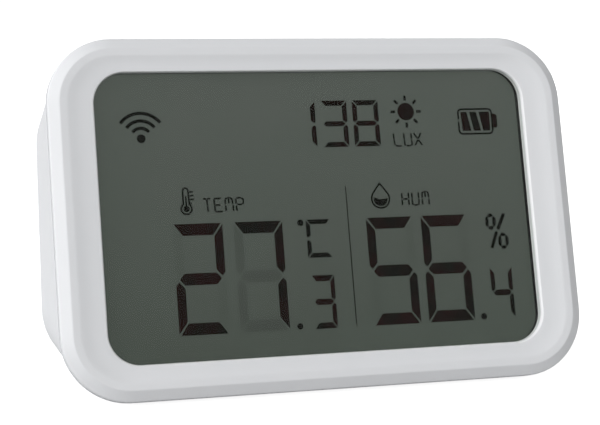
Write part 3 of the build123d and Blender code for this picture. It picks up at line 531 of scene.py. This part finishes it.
def cell_finish(name, plus_end, minus_end):
    """A sleeve whose bands run from the minus end to the plus end, both places along X in metres."""
    material, tree, shader = new_material(name)
    place = object_place(tree)
    along = add_node(tree, "ShaderNodeSeparateXYZ", {"Vector": place}).outputs["X"]
    share = spread(tree, along, minus_end, plus_end)
    bands = add_node(tree, "ShaderNodeValToRGB", {"Fac": share})
    bands.color_ramp.interpolation = "CONSTANT"
    stops = bands.color_ramp.elements
    for number, (where, shade) in enumerate(sleeve_bands):
        stop = stops[number] if number < 2 else stops.new(where)
        stop.position = where
        stop.color = shade
    scuffs = noise(tree, place, scuffs_per_metre, detail=4.0)
    looks = {
        "Base Color": bands.outputs["Color"],
        "Roughness": spread(tree, scuffs, to_low=0.22, to_high=0.42),
        "Metallic": maths(tree, "GREATER_THAN", share, plus_cap),
        "Normal": bump(tree, strength=0.1, height=scuffs),
    }
    feed(tree, shader, looks)
    return material


upper_low, upper_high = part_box("cell_upper")
lower_low, lower_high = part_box("cell_lower")
upper_sleeve = cell_finish("upper_sleeve", upper_high[0], upper_low[0])
lower_sleeve = cell_finish("lower_sleeve", lower_low[0], lower_high[0])
print("cells", round(upper_high[0] - upper_low[0], 4), "m long")

# %% [markdown]
# The solids that keep their shape only need their finish. One table says which finish each
# of them takes.

# %% Dress the solids
dressed = {
    case_plastic: ["rear_shell", "battery_door"],
    white_plastic: ["front_bezel", "pairing_button", "switch_plunger"],
    holder_plastic: ["display_holder"],
    window_clear: ["display_window"],
    pane_clear: ["front_glass", "rear_glass"],
    resin_clear: ["light_sensor"],
    guide_resin: ["light_pipe"],
    field_film: ["front_film"],
    silvered_film: ["reflector_film"],
    dark_rubber: ["window_gasket", "contact_strip"],
    foot_rubber: ["foot_front_left", "foot_front_right", "foot_back_left", "foot_back_right"],
    green_board: ["main_board", "radio_board"],
    black_resin: ["climate_sensor", "display_driver", "board_chips", "switch_body"],
    tinplate: ["radio_shield", "clock_crystal"],
    zinc: ["board_screws", "shell_screws"],
    nickel: ["contact_bridge", "contact_plus", "contact_minus", "contact_springs"],
    upper_sleeve: ["cell_upper"],
    lower_sleeve: ["cell_lower"],
}
for material, names in dressed.items():
    for name in names:
        for material_slot in frame["nodes"][name].material_slots:
            material_slot.material = material
print("dressed", sum(len(names) for names in dressed.values()), "of", len(frame["nodes"]), "solids")

# %% [markdown]
# New pieces are meshes written out corner by corner. One helper turns corners and faces into
# an object, smooths the shading where faces meet gently, and hangs it on its body.

# %% Helper for new pieces
def new_piece(name, corners, faces, material, slot, body="housing", smooth_angle=30):
    """An object from corners in metres, smooth where faces meet at less than an angle."""
    mesh = bpy.data.meshes.new(name)
    mesh.from_pydata([tuple(corner) for corner in corners], [], faces)
    mesh.validate()
    mesh.shade_smooth()
    mesh.set_sharp_from_angle(angle=math.radians(smooth_angle))
    mesh.materials.append(material)
    made = bpy.data.objects.new(name, mesh)
    scene_objects.link(made)
    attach(made, body)
    return made


# %% [markdown]
# The frame is one ring with the same section all round, but the section changes in width
# because the window isn't a plain inset of the outline. So each line of the section is a
# rounded rectangle of its own: half width, half height, corner radius, drop and height. Lines
# between two of them are blends, and a quadratic blend round a corner of the section gives
# the soft edges that moulded plastic has. Going inwards there are a steep bevel, a flat
# ridge, a hardly hollow slope and the lip, which has a bevel of its own and a wall painted a
# darker grey as shade.

# %% Front frame
bezel_half_width = 43.3
bezel_half_height = 28.35
bezel_radius = 10.5
bezel_drop = -0.2
window_half_width = 36.0
window_half_height = 22.9
window_radius = 4.9
corner_steps = 16
edge_steps = 5
ring_count = 4 * (corner_steps + 1)


def outline(inset, height):
    """Section line that follows the frame's outline at an inset."""
    sizes = (bezel_half_width - inset, bezel_half_height - inset, bezel_radius - inset)
    return Vector((*sizes, bezel_drop, height))


def opening(offset, height):
    """Section line that follows the window's edge at an offset."""
    sizes = (window_half_width + offset, window_half_height + offset, window_radius + offset)
    return Vector((*sizes, 0, height))


def lip_line(offset, height, shorter, lower):
    """Section line of the lip, which is a little less tall than the window and sits lower."""
    return opening(offset, height) - Vector((0, shorter, 0, lower, 0))


def toward(start, end, reach):
    """A section line on the way from one to the next, reach millimetres from the start."""
    travel = max(abs(end[0] - start[0]), abs(end[4] - start[4]))
    return start.lerp(end, min(reach / travel, 0.5))


def softened(lines, softness):
    """The section's lines with each corner rounded by its own softness."""
    result = []
    for number, (line, reach) in enumerate(zip(lines, softness)):
        if not reach:
            result.append(line)
            continue
        start = toward(line, lines[number - 1], reach)
        end = toward(line, lines[(number + 1) % len(lines)], reach)
        for step in range(edge_steps + 1):
            t = step / edge_steps
            result.append(start * (1 - t) ** 2 + line * (2 * t * (1 - t)) + end * t**2)
    return result


def ring_places(line):
    """The places round one section line, anticlockwise as seen from the front."""
    half_width, half_height, radius, drop, height = line
    places = []
    for quarter, side in enumerate(quarters):
        for step in range(corner_steps + 1):
            angle = math.radians(90) * (quarter + step / corner_steps)
            x = side[0] * (half_width - radius) + radius * math.cos(angle)
            y = side[1] * (half_height - radius) + radius * math.sin(angle) + drop
            places.append(on_face(x, y, height))
    return places


def ring(section, softness):
    """The places and faces of a ring with one section all round, its corners given anticlockwise."""
    lines = softened(section, softness)
    faces = []
    for number in range(len(lines)):
        here, there = number * ring_count, (number + 1) % len(lines) * ring_count
        for corner in range(ring_count):
            after = (corner + 1) % ring_count
            faces.append((here + corner, here + after, there + after, there + corner))
    return [place for line in lines for place in ring_places(line)], faces


# %% [markdown]
# The section starts at the pocket for the window and runs outwards along the frame's back, up
# the side wall and the bevel, over the ridge and down the slope to the lip, whose underside
# covers the window's edge. Each corner has its own softness, which is how far its rounding
# reaches.

# %% Section of the frame
window_overlap = 1.3
frame_back = -0.9
frame_step = -0.6
ridge_height = 1.7
hollow_depth = 0.13

ridge_edge = outline(2.95, ridge_height)
lip_edge = lip_line(0.255, 1.28, shorter=0.26, lower=0.211)
frame_section = [
    opening(window_overlap, frame_back),
    outline(0.6, frame_back),
    outline(0.6, frame_step),
    outline(0.08, frame_step),
    outline(0.0, 0.6),
    outline(1.75, ridge_height),
    ridge_edge,
    ridge_edge.lerp(lip_edge, 0.45) - Vector((0, 0, 0, 0, hollow_depth)),
    lip_edge,
    lip_line(0.115, 0.83, shorter=0.205, lower=0.145),
    lip_line(0.0, 0.0, shorter=0.12, lower=0.1),
    opening(window_overlap, 0.0),
]
frame_softness = [0, 0, 0, 0.05, 0.26, 0.15, 0.25, 1.6, 0.26, 0.1, 0, 0]
frame_places, frame_faces = ring(frame_section, frame_softness)
line_count = len(frame_faces) // ring_count
print("frame section lines", line_count, "faces", len(frame_faces))

# %% [markdown]
# Behind the frame, four straight tongues slip inside the case and hold it. They taper a
# little, as everything does that has to leave a mould, and they join the frame's mesh. Then
# the rings of faces on the lip get its two painted finishes: a lighter edge, which is a
# painted highlight, and a greyer wall, which is painted shade.

# %% Tongues and the finished frame
tongue_depth = 4.0
tongue_wall = 1.0
tongue_inset = 2.15
tongue_taper = 0.14
tongue_faces = [(0, 1, 3, 2), (4, 6, 7, 5), (0, 4, 5, 1), (2, 3, 7, 6), (0, 2, 6, 4), (1, 5, 7, 3)]

for side, half_length, reach in (
    ((0, 1), 31.0, bezel_half_height),
    ((0, -1), 31.0, bezel_half_height),
    ((1, 0), 16.5, bezel_half_width),
    ((-1, 0), 16.5, bezel_half_width),
):
    start = len(frame_places)
    distance = reach - tongue_inset
    along = Vector((-side[1], side[0]))
    for height, lead in ((frame_back, 0.0), (frame_back - tongue_depth, tongue_taper)):
        for away in (distance - lead, distance - lead - tongue_wall):
            for end in (-half_length, half_length):
                spot = Vector(side) * away + along * end
                frame_places.append(on_face(spot[0], spot[1] + bezel_drop, height))
    frame_faces += [tuple(start + corner for corner in face) for face in tongue_faces]

white_frame = new_piece("white_frame", frame_places, frame_faces, white_plastic, "white_housing")
wall_ring = line_count - 3
edge_ring = wall_ring - 2 * edge_steps
# the lip's edge rings take the painted highlight and its wall rings the painted shade
lip_painted_tones = ((lip_wall_painted_shade, wall_ring, wall_ring + 1), (lip_painted_highlight, edge_ring, wall_ring - 3))
for number, (look, first, last) in enumerate(lip_painted_tones):
    white_frame.data.materials.append(look)
    for face in range(first * ring_count, last * ring_count):
        white_frame.data.polygons[face].material_index = number + 1
even = white_frame.modifiers.new("even_shading", "WEIGHTED_NORMAL")
even.keep_sharp = True
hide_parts("front_bezel")
print("frame corners", len(white_frame.data.vertices))

# %% [markdown]
# Two more rings share the frame's lines. Where the frame meets the case, a fine dark line runs
# round the sensor. It is a real slot: the case's rim stands flush with the frame, and a step in
# the frame's back leaves three tenths of a millimetre open between them. The other ring is the
# black rubber seal behind the window. Its edge shows as a dark line through the glass.

# %% Seam and window seal
rim_depth = -1.25
film_height = -1.1
window_back = -0.8

seam_section = [outline(0.55, rim_depth), outline(0.36, rim_depth), outline(0.0, -0.98)]
seam_section += [outline(0.0, frame_back), outline(0.55, frame_back)]
seam_rim = new_piece("seam_rim", *ring(seam_section, [0, 0, 0, 0.03, 0]), case_plastic, "white_housing")
seal_section = [
    lip_line(-0.12, film_height, shorter=-0.08, lower=0.1),
    opening(1.2, film_height),
    opening(1.2, window_back),
    lip_line(-0.12, window_back, shorter=-0.08, lower=0.1),
]
seal_softness = [0.05, 0, 0, 0.05]
window_seal = new_piece("window_seal", *ring(seal_section, seal_softness), dark_rubber, "dark_rubber")
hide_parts("window_gasket")
print("seam faces", len(seam_rim.data.polygons), "seal faces", len(window_seal.data.polygons))

# %% [markdown]
# What the display shows is a set of flat shapes under the window: segments that are dark when
# they are on, and hardly there when they are off. Each shape is a list of points on the face,
# and all of one kind become one very thin mesh that lies on the film. The looks come from the
# shapes: pointed ends, slanted cuts and the narrow gaps between neighbours.

# %% Helpers for flat shapes on the display
ink_base = film_height + 0.004
ink_top = film_height + 0.02
ghost_top = ink_top - 0.008
sharpest_mitre = 0.4


def ribbon(points, width, closed=False):
    """Outline pieces of a line of even width through points: one polygon, or four-sided ones if closed."""
    spots = [Vector(point) for point in points]
    count = len(spots)
    left, right = [], []
    for number, spot in enumerate(spots):
        before = spots[number - 1] if closed or number else spot
        after = spots[(number + 1) % count] if closed or number < count - 1 else spot
        way_in = (spot - before).normalized() if before != spot else (after - spot).normalized()
        way_out = (after - spot).normalized() if after != spot else way_in
        bisector = (way_in + way_out).normalized()
        normal = Vector((-bisector[1], bisector[0]))
        reach = width / 2 / max(normal.dot(Vector((-way_in[1], way_in[0]))), sharpest_mitre)
        left.append(spot + normal * reach)
        right.append(spot - normal * reach)
    if not closed:
        return [right + left[::-1]]
    return [
        [right[number], right[(number + 1) % count], left[(number + 1) % count], left[number]]
        for number in range(count)
    ]


def arc_points(centre, radius, start, end, steps):
    """Points on an arc from one angle to another, in degrees."""
    angles = [math.radians(start + (end - start) * step / steps) for step in range(steps + 1)]
    return [(centre[0] + radius * math.cos(angle), centre[1] + radius * math.sin(angle)) for angle in angles]


def disc(centre, radius, steps=28):
    """A filled round dot."""
    return arc_points(centre, radius, 0, 360, steps)[:-1]


def flat_shapes(name, outlines, material, top=ink_top, slot="dark_rubber"):
    """One thin mesh from many outlines, each given anticlockwise or clockwise."""
    corners, faces = [], []
    for points in outlines:
        area = sum(a[0] * b[1] - b[0] * a[1] for a, b in zip(points, [*points[1:], points[0]]))
        ordered = list(points) if area > 0 else list(points)[::-1]
        start, count = len(corners), len(ordered)
        for height in (ink_base, top):
            corners += [on_face(point[0], point[1], height) for point in ordered]
        faces.append(tuple(range(start + count, start + 2 * count)))
        faces.append(tuple(reversed(range(start, start + count))))
        for number in range(count):
            after = (number + 1) % count
            faces.append((start + number, start + after, start + count + after, start + count + number))
    return new_piece(name, corners, faces, material, slot, smooth_angle=1)


# %% [markdown]
# A seven-segment digit is ruled by its box and by how thick its bars are. The bars across the
# top and bottom are cut at the corners, the middle bar has two points, and the upright bars
# have one cut end and one pointed end. The letters a to g name them in the usual order.

# %% Digits
corner_cut = 0.9
middle_tip = 0.45
post_tip = 0.36
tip_rise = 0.2
inner_rise = 0.77
outer_rise = 0.52


def digit(left, bottom, width, height, bar, post, gap, lit):
    """Outlines of the lit segments of a digit, from its box, bar and post thickness and the gap."""
    right, top, middle = left + width, bottom + height, bottom + height / 2
    corner, shoulder, reach = corner_cut * gap, post + gap / 2, middle_tip * post
    shapes = {
        "g": [
            (left + reach, middle),
            (left + post, middle + bar / 2),
            (right - post, middle + bar / 2),
            (right - reach, middle),
            (right - post, middle - bar / 2),
            (left + post, middle - bar / 2),
        ],
    }
    for name, end, inside in (("a", top, top - bar), ("d", bottom, bottom + bar)):
        shapes[name] = [(left + corner, end), (right - corner, end)]
        shapes[name] += [(right - shoulder, inside), (left + shoulder, inside)]
    for upper, lower, outer, way in (("b", "c", right, -1), ("f", "e", left, 1)):
        inner, tip = outer + way * post, outer + way * post * post_tip
        for name, end, rise in ((upper, top, 1), (lower, bottom, -1)):
            shapes[name] = [
                (outer, end - rise * corner),
                (inner, end - rise * (bar + corner)),
                (inner, middle + rise * bar * inner_rise),
                (tip, middle + rise * bar * tip_rise),
                (outer, middle + rise * bar * outer_rise),
            ]
    return [shapes[name] for name in lit]


big_box = {"bottom": -18.78, "width": 8.08, "height": 17.48, "bar": 1.88, "post": 1.45, "gap": 0.25}
humid_box = {**big_box, "bottom": -18.9, "height": 17.5}
upper_box = {"bottom": 10.36, "width": 4.5, "height": 7.68, "bar": 0.85, "post": 0.82, "gap": 0.18}
small_box = {"bottom": -18.9, "width": 3.9, "height": 8.56, "bar": 0.98, "post": 0.76, "gap": 0.17}

lit_shapes, ghost_shapes, faint_shapes = [], [], []
for shapes, box, digits in (
    (lit_shapes, big_box, [(-24.62, "abged"), (-14.77, "abc")]),
    (lit_shapes, humid_box, [(7.48, "afgcd"), (16.96, "afgcde")]),
    (lit_shapes, upper_box, [(-4.2, "bc"), (1.25, "abgcd"), (6.7, "abcdefg")]),
    (lit_shapes, small_box, [(-2.58, "abgcd"), (28.4, "fgbc")]),
    (ghost_shapes, big_box, [(-14.77, "fged")]),
    (faint_shapes, big_box, [(-24.62, "fc")]),
    (faint_shapes, humid_box, [(7.48, "be"), (16.96, "b")]),
):
    for left, lit in digits:
        shapes += digit(left, lit=lit, **box)
flat_shapes("ghost_digits", ghost_shapes, ghost_ink, ghost_top, "display_film")
flat_shapes("faint_digits", faint_shapes, faint_ink, ghost_top, "display_film")
print("segments on", len(lit_shapes), "off", len(ghost_shapes) + len(faint_shapes))

# %% [markdown]
# Beside the numbers stand the signs: degree mark and C, per cent, decimal points and the
# dividing line, all plain lines or filled shapes. The per cent sign has two rings of four
# strokes each and a slash in two parts.

# %% Signs beside the numbers
slash_stroke = 0.6
divider_stroke = 0.17

sign_shapes = [disc((-3.65, -1.78), 0.53), disc((-4.99, -18.32), 0.51), disc((26.63, -18.4), 0.54)]
c_box = {"bottom": -7.5, "width": 4.2, "height": 6.18, "bar": 0.78, "post": 0.72, "gap": 0.16}
sign_shapes += digit(-2.77, lit="afed", **c_box)

cap = [(-0.52, 1.04), (-0.26, 1.36), (0.26, 1.36), (0.52, 1.04), (0.26, 0.74), (-0.26, 0.74)]
flank = [(0.34, 0.68), (0.62, 0.93), (0.94, 0.6), (0.94, -0.6), (0.62, -0.93), (0.34, -0.68)]
for ring_x, ring_y in ((29.33, -2.78), (31.35, -6.06)):
    for way in (1, -1):
        for stroke in (cap, flank):
            sign_shapes.append([(ring_x + x * way, ring_y + y * way) for x, y in stroke])
for slash in ([(31.84, -1.5), (30.52, -4.12)], [(30.26, -4.5), (29.16, -7.2)]):
    sign_shapes += ribbon(slash, slash_stroke)
sign_shapes += ribbon([(4.46, 3.9), (4.46, -18.8)], divider_stroke)
print("sign shapes so far", len(sign_shapes))

# %% [markdown]
# Radio waves are a dot and three arcs. The battery is a case with a small break on its left,
# a terminal and three slanted bars, which have the reddish ink of the numbers.

# %% Radio waves and battery
wave_stroke = 0.54
case_stroke = 0.31
case_corner = 0.64
wave_dot = (-28.62, 12.42)
sign_shapes.append(disc(wave_dot, 0.7))
for radius in (1.66, 2.84, 4.06):
    sign_shapes += ribbon(arc_points(wave_dot, radius, 38, 142, 14), wave_stroke)

case_points = [(25.26, 14.16)]
for centre, start in (((25.9, 12.71), 180), ((30.66, 12.71), 270), ((30.66, 15.6), 0), ((25.9, 15.6), 90)):
    case_points += arc_points(centre, case_corner, start, start + 90, 6)
case_points.append((25.26, 14.52))
sign_shapes += ribbon(case_points, case_stroke)
terminal = [(31.46, 15.38), (32.0, 15.38), (32.23, 15.1), (32.23, 13.25), (32.0, 13.02), (31.46, 13.02)]
lit_shapes.append(terminal)
for top_left, top_right, foot_right, foot_left in (
    (25.7, 26.82, 27.44, 25.86),
    (27.3, 28.52, 29.16, 27.88),
    (29.0, 30.9, 30.86, 29.56),
):
    lit_shapes.append([(top_left, 15.78), (top_right, 15.78), (foot_right, 12.58), (foot_left, 12.58)])
print("segments on, with the battery's bars and terminal", len(lit_shapes))

# %% [markdown]
# The thermometer is a bulb with a tube round its column and four ticks. The drop is an
# outline whose lower half is filled.

# %% Thermometer and drop
fine_stroke = 0.29
tick_stroke = 0.26
tick_left = -21.5
bulb = (-22.12, 1.08)
tube_points = arc_points(bulb, 0.86, 124, 416, 24) + arc_points((bulb[0] - 0.03, 3.96), 0.43, 0, 180, 8)
sign_shapes += ribbon(tube_points, fine_stroke, closed=True)
sign_shapes.append(disc(bulb, 0.5))
sign_shapes += ribbon([(bulb[0], 1.5), (bulb[0] - 0.02, 3.12)], tick_stroke)
for tick, tick_length in enumerate((0.58, 0.62, 0.7, 0.3)):
    tick_y = 3.76 - 0.6 * tick
    sign_shapes += ribbon([(tick_left, tick_y), (tick_left + tick_length, tick_y)], tick_stroke)

drop_centre = (10.33, 1.68)
drop_points = arc_points(drop_centre, 1.54, 150, 390, 20) + [(11.16, 3.14), (10.33, 4.2), (9.5, 3.14)]
sign_shapes += ribbon(drop_points, fine_stroke, closed=True)
water_line = [(11.0, 1.66), (10.6, 1.6), (10.1, 1.58), (9.6, 1.84)]
sign_shapes.append(arc_points(drop_centre, 1.24, 170, 362, 18) + water_line)
print("sign shapes so far", len(sign_shapes))

# %% [markdown]
# The three short captions name a quantity or a unit, as the figures on a dial do. Their
# letters are drawn with separate strokes in a box of one by one, as segment lettering is, and
# each stroke is cut a little short, so that gaps show.

# %% Captions
caption_height = 2.1
stroke_gap = 0.04
letter_strokes = {
    "T": [[(0, 1), (0.48, 1)], [(0.52, 1), (1, 1)], [(0.5, 0.96), (0.5, 0.5)], [(0.5, 0.5), (0.5, 0)]],
    "E": [
        [(0, 1), (1, 1)], [(0, 0.96), (0, 0.5)], [(0, 0.5), (0, 0)],
        [(0.1, 0.5), (0.8, 0.5)], [(0, 0), (1, 0)],
    ],
    "M": [
        [(0, 0), (0, 0.47)], [(0, 0.53), (0.05, 0.92), (0.3, 1.04)], [(0.3, 1.04), (0.7, 1.04)],
        [(0.7, 1.04), (0.95, 0.92), (1, 0.53)], [(1, 0.47), (1, 0)], [(0.5, 0.98), (0.5, 0.58)],
    ],
    "P": [
        [(0.1, 1), (0.8, 1)], [(0.8, 1), (1, 0.88), (1, 0.62), (0.8, 0.5)], [(0.1, 0.5), (0.8, 0.5)],
        [(0, 0.96), (0, 0.54)], [(0, 0.44), (0, 0)],
    ],
    "H": [
        [(0, 1), (0, 0.52)], [(0, 0.48), (0, 0)], [(1, 1), (1, 0.52)],
        [(1, 0.48), (1, 0)], [(0.15, 0.5), (0.85, 0.5)],
    ],
    "U": [
        [(0, 1), (0, 0.5)], [(0, 0.48), (0, 0.12), (0.15, 0)], [(0.2, 0), (0.8, 0)],
        [(0.85, 0), (1, 0.12), (1, 0.48)], [(1, 0.52), (1, 1)],
    ],
    "L": [[(0, 1), (0, 0.5)], [(0, 0.48), (0, 0.06)], [(0.1, 0), (0.95, 0)]],
    "X": [[(0, 1), (0.47, 0.53)], [(0.53, 0.47), (1, 0)], [(1, 1), (0.53, 0.53)], [(0.47, 0.47), (0, 0)]],
}


def caption(word, left, bottom, pitch, width, lean):
    """The strokes of a short caption, each cut short a little at both ends."""
    shapes = []
    for place, letter in enumerate(word):
        start = left + place * pitch
        for points in letter_strokes[letter]:
            spots = [Vector((start + x * width - y * lean, bottom + y * caption_height)) for x, y in points]
            spots[0] += (spots[1] - spots[0]).normalized() * stroke_gap
            spots[-1] += (spots[-2] - spots[-1]).normalized() * stroke_gap
            shapes += ribbon(spots, fine_stroke)
    return shapes


sign_shapes += caption("TEMP", left=-19.26, bottom=0.48, pitch=1.77, width=1.22, lean=0.12)
sign_shapes += caption("HUM", left=14.06, bottom=0.43, pitch=1.76, width=1.15, lean=0.0)
sign_shapes += caption("LUX", left=13.62, bottom=10.31, pitch=1.78, width=1.28, lean=0.12)
flat_shapes("signs", sign_shapes, sign_ink)
flat_shapes("lit_digits", lit_shapes, segment_ink)
print("sign shapes on the display", len(sign_shapes))

# %% [markdown]
# What repeats or follows a path is a job for Geometry Nodes. A tree is built like a shader
# group, with named inputs for its sizes, and ends in real geometry with a finish. Its result
# is made a plain mesh, so it can be handled as every other piece is.

# %% Helpers for Geometry Nodes
def new_tree(name, values):
    """An empty tree with a named input for each of its values, and what comes in from them."""
    kinds = {int: "Int", float: "Float", bpy.types.Material: "Material"}
    tree = bpy.data.node_groups.new(name, "GeometryNodeTree")
    tree.interface.new_socket("Geometry", in_out="OUTPUT", socket_type="NodeSocketGeometry")
    for label, value in values.items():
        tree.interface.new_socket(label, in_out="INPUT", socket_type="NodeSocket" + kinds[type(value)])
    return tree, tree.nodes.new("NodeGroupInput").outputs


def close_tree(tree, geometry, look):
    """The end of a tree: what was instanced becomes real and takes its finish."""
    real = add_node(tree, "GeometryNodeRealizeInstances", {"Geometry": geometry})
    looks = {"Geometry": real.outputs["Geometry"], "Material": look}
    with_look = add_node(tree, "GeometryNodeSetMaterial", looks)
    add_node(tree, "NodeGroupOutput", {"Geometry": with_look.outputs["Geometry"]})


def grown(name, tree, values):
    """The plain mesh that a tree makes with these values, its inputs set by identifier."""
    carrier = bpy.data.objects.new(name + "_carrier", bpy.data.meshes.new(name + "_carrier"))
    scene_objects.link(carrier)
    modifier = carrier.modifiers.new("grow", "NODES")
    modifier.node_group = tree
    for item in tree.interface.items_tree:
        if item.item_type == "SOCKET" and item.in_out == "INPUT" and item.name in values:
            modifier[item.identifier] = values[item.name]
    bpy.context.view_layer.update()
    evaluated = carrier.evaluated_get(bpy.context.evaluated_depsgraph_get())
    mesh = bpy.data.meshes.new_from_object(evaluated)
    bpy.data.objects.remove(carrier)
    mesh.name = name
    return mesh


# %% [markdown]
# The sun beside the upper number is a dot with eight rays. The rays are a circle of points,
# one small bar, and Instance on Points with each bar turned to its own direction.

# %% Sun rays
ray_start = 1.85
ray_length = 0.84
sun_centre = (16.01, 16.02)
sun_radius = 1.46
ray_values = {
    "Rays": 8,
    "Middle radius": (ray_start + ray_length / 2) * mm,
    "Length": ray_length * mm,
    "Width": 0.43 * mm,
    "Thickness": (ink_top - ink_base) * mm,
    "Finish": sign_ink,
}

rays, rays_in = new_tree("sun_rays", ray_values)
round_sun = {"Vertices": rays_in["Rays"], "Radius": rays_in["Middle radius"]}
ray_circle = add_node(rays, "GeometryNodeMeshCircle", round_sun)
ray_sizes = {"X": rays_in["Length"], "Y": rays_in["Width"], "Z": rays_in["Thickness"]}
ray_size = add_node(rays, "ShaderNodeCombineXYZ", ray_sizes).outputs["Vector"]
ray_bar = add_node(rays, "GeometryNodeMeshCube", {"Size": ray_size})
ray_spot = add_node(rays, "GeometryNodeInputPosition").outputs["Position"]
ray_turn = add_node(rays, "FunctionNodeAlignRotationToVector", {"Vector": ray_spot}, axis="X")
ray_copies = add_node(rays, "GeometryNodeInstanceOnPoints", {
    "Points": ray_circle.outputs["Mesh"],
    "Instance": ray_bar.outputs["Mesh"],
    "Rotation": ray_turn.outputs["Rotation"],
})
close_tree(rays, ray_copies.outputs["Instances"], rays_in["Finish"])

ray_mesh = grown("sun_sign", rays, ray_values)
sun_turn = Matrix((across, upward, outward)).transposed().to_4x4()
ray_mesh.transform(Matrix.Translation(on_face(*sun_centre, (ink_base + ink_top) / 2)) @ sun_turn)
sun_rays = bpy.data.objects.new("sun_rays", ray_mesh)
scene_objects.link(sun_rays)
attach(sun_rays, "housing")
flat_shapes("sun_disc", [disc(sun_centre, sun_radius, 40)], segment_ink)
print("sun rays", ray_values["Rays"], "corners", len(ray_mesh.vertices))

# %% [markdown]
# The contact springs are cones of nickel wire. The solids carry them as a six-sided wire, and
# here a spiral curve and a round profile give the smooth wire of the real ones. One tree
# makes the spiral once and sets it down at both seats, turned to face its cell.

# %% Contact springs
wire_radius = 0.3
spring_values = {
    "Turns": 3.0,
    "Wire radius": wire_radius * mm,
    "Base radius": 3.2 * mm,
    "Tip radius": 1.9 * mm,
    "Rise": 4.1 * mm,
    "Finish": nickel,
}
spring_low, spring_high = (Vector(corner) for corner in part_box("contact_springs"))

coils, coils_in = new_tree("cone_springs", spring_values)
spiral = add_node(coils, "GeometryNodeCurveSpiral", {
    "Resolution": 48,
    "Rotations": coils_in["Turns"],
    "Start Radius": coils_in["Base radius"],
    "End Radius": coils_in["Tip radius"],
    "Height": coils_in["Rise"],
})
round_wire = {"Resolution": 12, "Radius": coils_in["Wire radius"]}
profile = add_node(coils, "GeometryNodeCurvePrimitiveCircle", round_wire)
drawn_wire = {"Curve": spiral.outputs["Curve"], "Profile Curve": profile.outputs["Curve"], "Fill Caps": True}
wire = add_node(coils, "GeometryNodeCurveToMesh", drawn_wire)
close_tree(coils, wire.outputs["Mesh"], coils_in["Finish"])
spring_mesh = grown("battery_spring", coils, spring_values)
print("spring corners", len(spring_mesh.vertices), "from", rounded(spring_low), "to", rounded(spring_high))

# %% [markdown]
# The upper cell has its minus end on the left and the lower cell on the right, so one spring
# stands at each end of the bay, in line with its own cell. Both copies go into one mesh.

# %% Set down both springs
joined = bmesh.new()
left_seat = (spring_low[0], 1, upper_low, upper_high)
right_seat = (spring_high[0], -1, lower_low, lower_high)
for seat_x, way, low, high in (left_seat, right_seat):
    middle = (Vector(low) + Vector(high)) / 2
    copy = spring_mesh.copy()
    lay = Matrix.Rotation(math.radians(90) * way, 4, "Y")
    seat = Vector((seat_x + way * wire_radius * mm, middle[1], middle[2]))
    copy.transform(Matrix.Translation(seat) @ lay)
    joined.from_mesh(copy)
bmesh.ops.recalc_face_normals(joined, faces=joined.faces)
spring_pair = bpy.data.meshes.new("battery_springs")
joined.to_mesh(spring_pair)
joined.free()
spring_pair.shade_smooth()
spring_pair.materials.append(nickel)
battery_springs = bpy.data.objects.new("battery_springs", spring_pair)
scene_objects.link(battery_springs)
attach(battery_springs, "housing")
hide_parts("contact_springs")
print("springs", len(spring_pair.vertices), "corners")
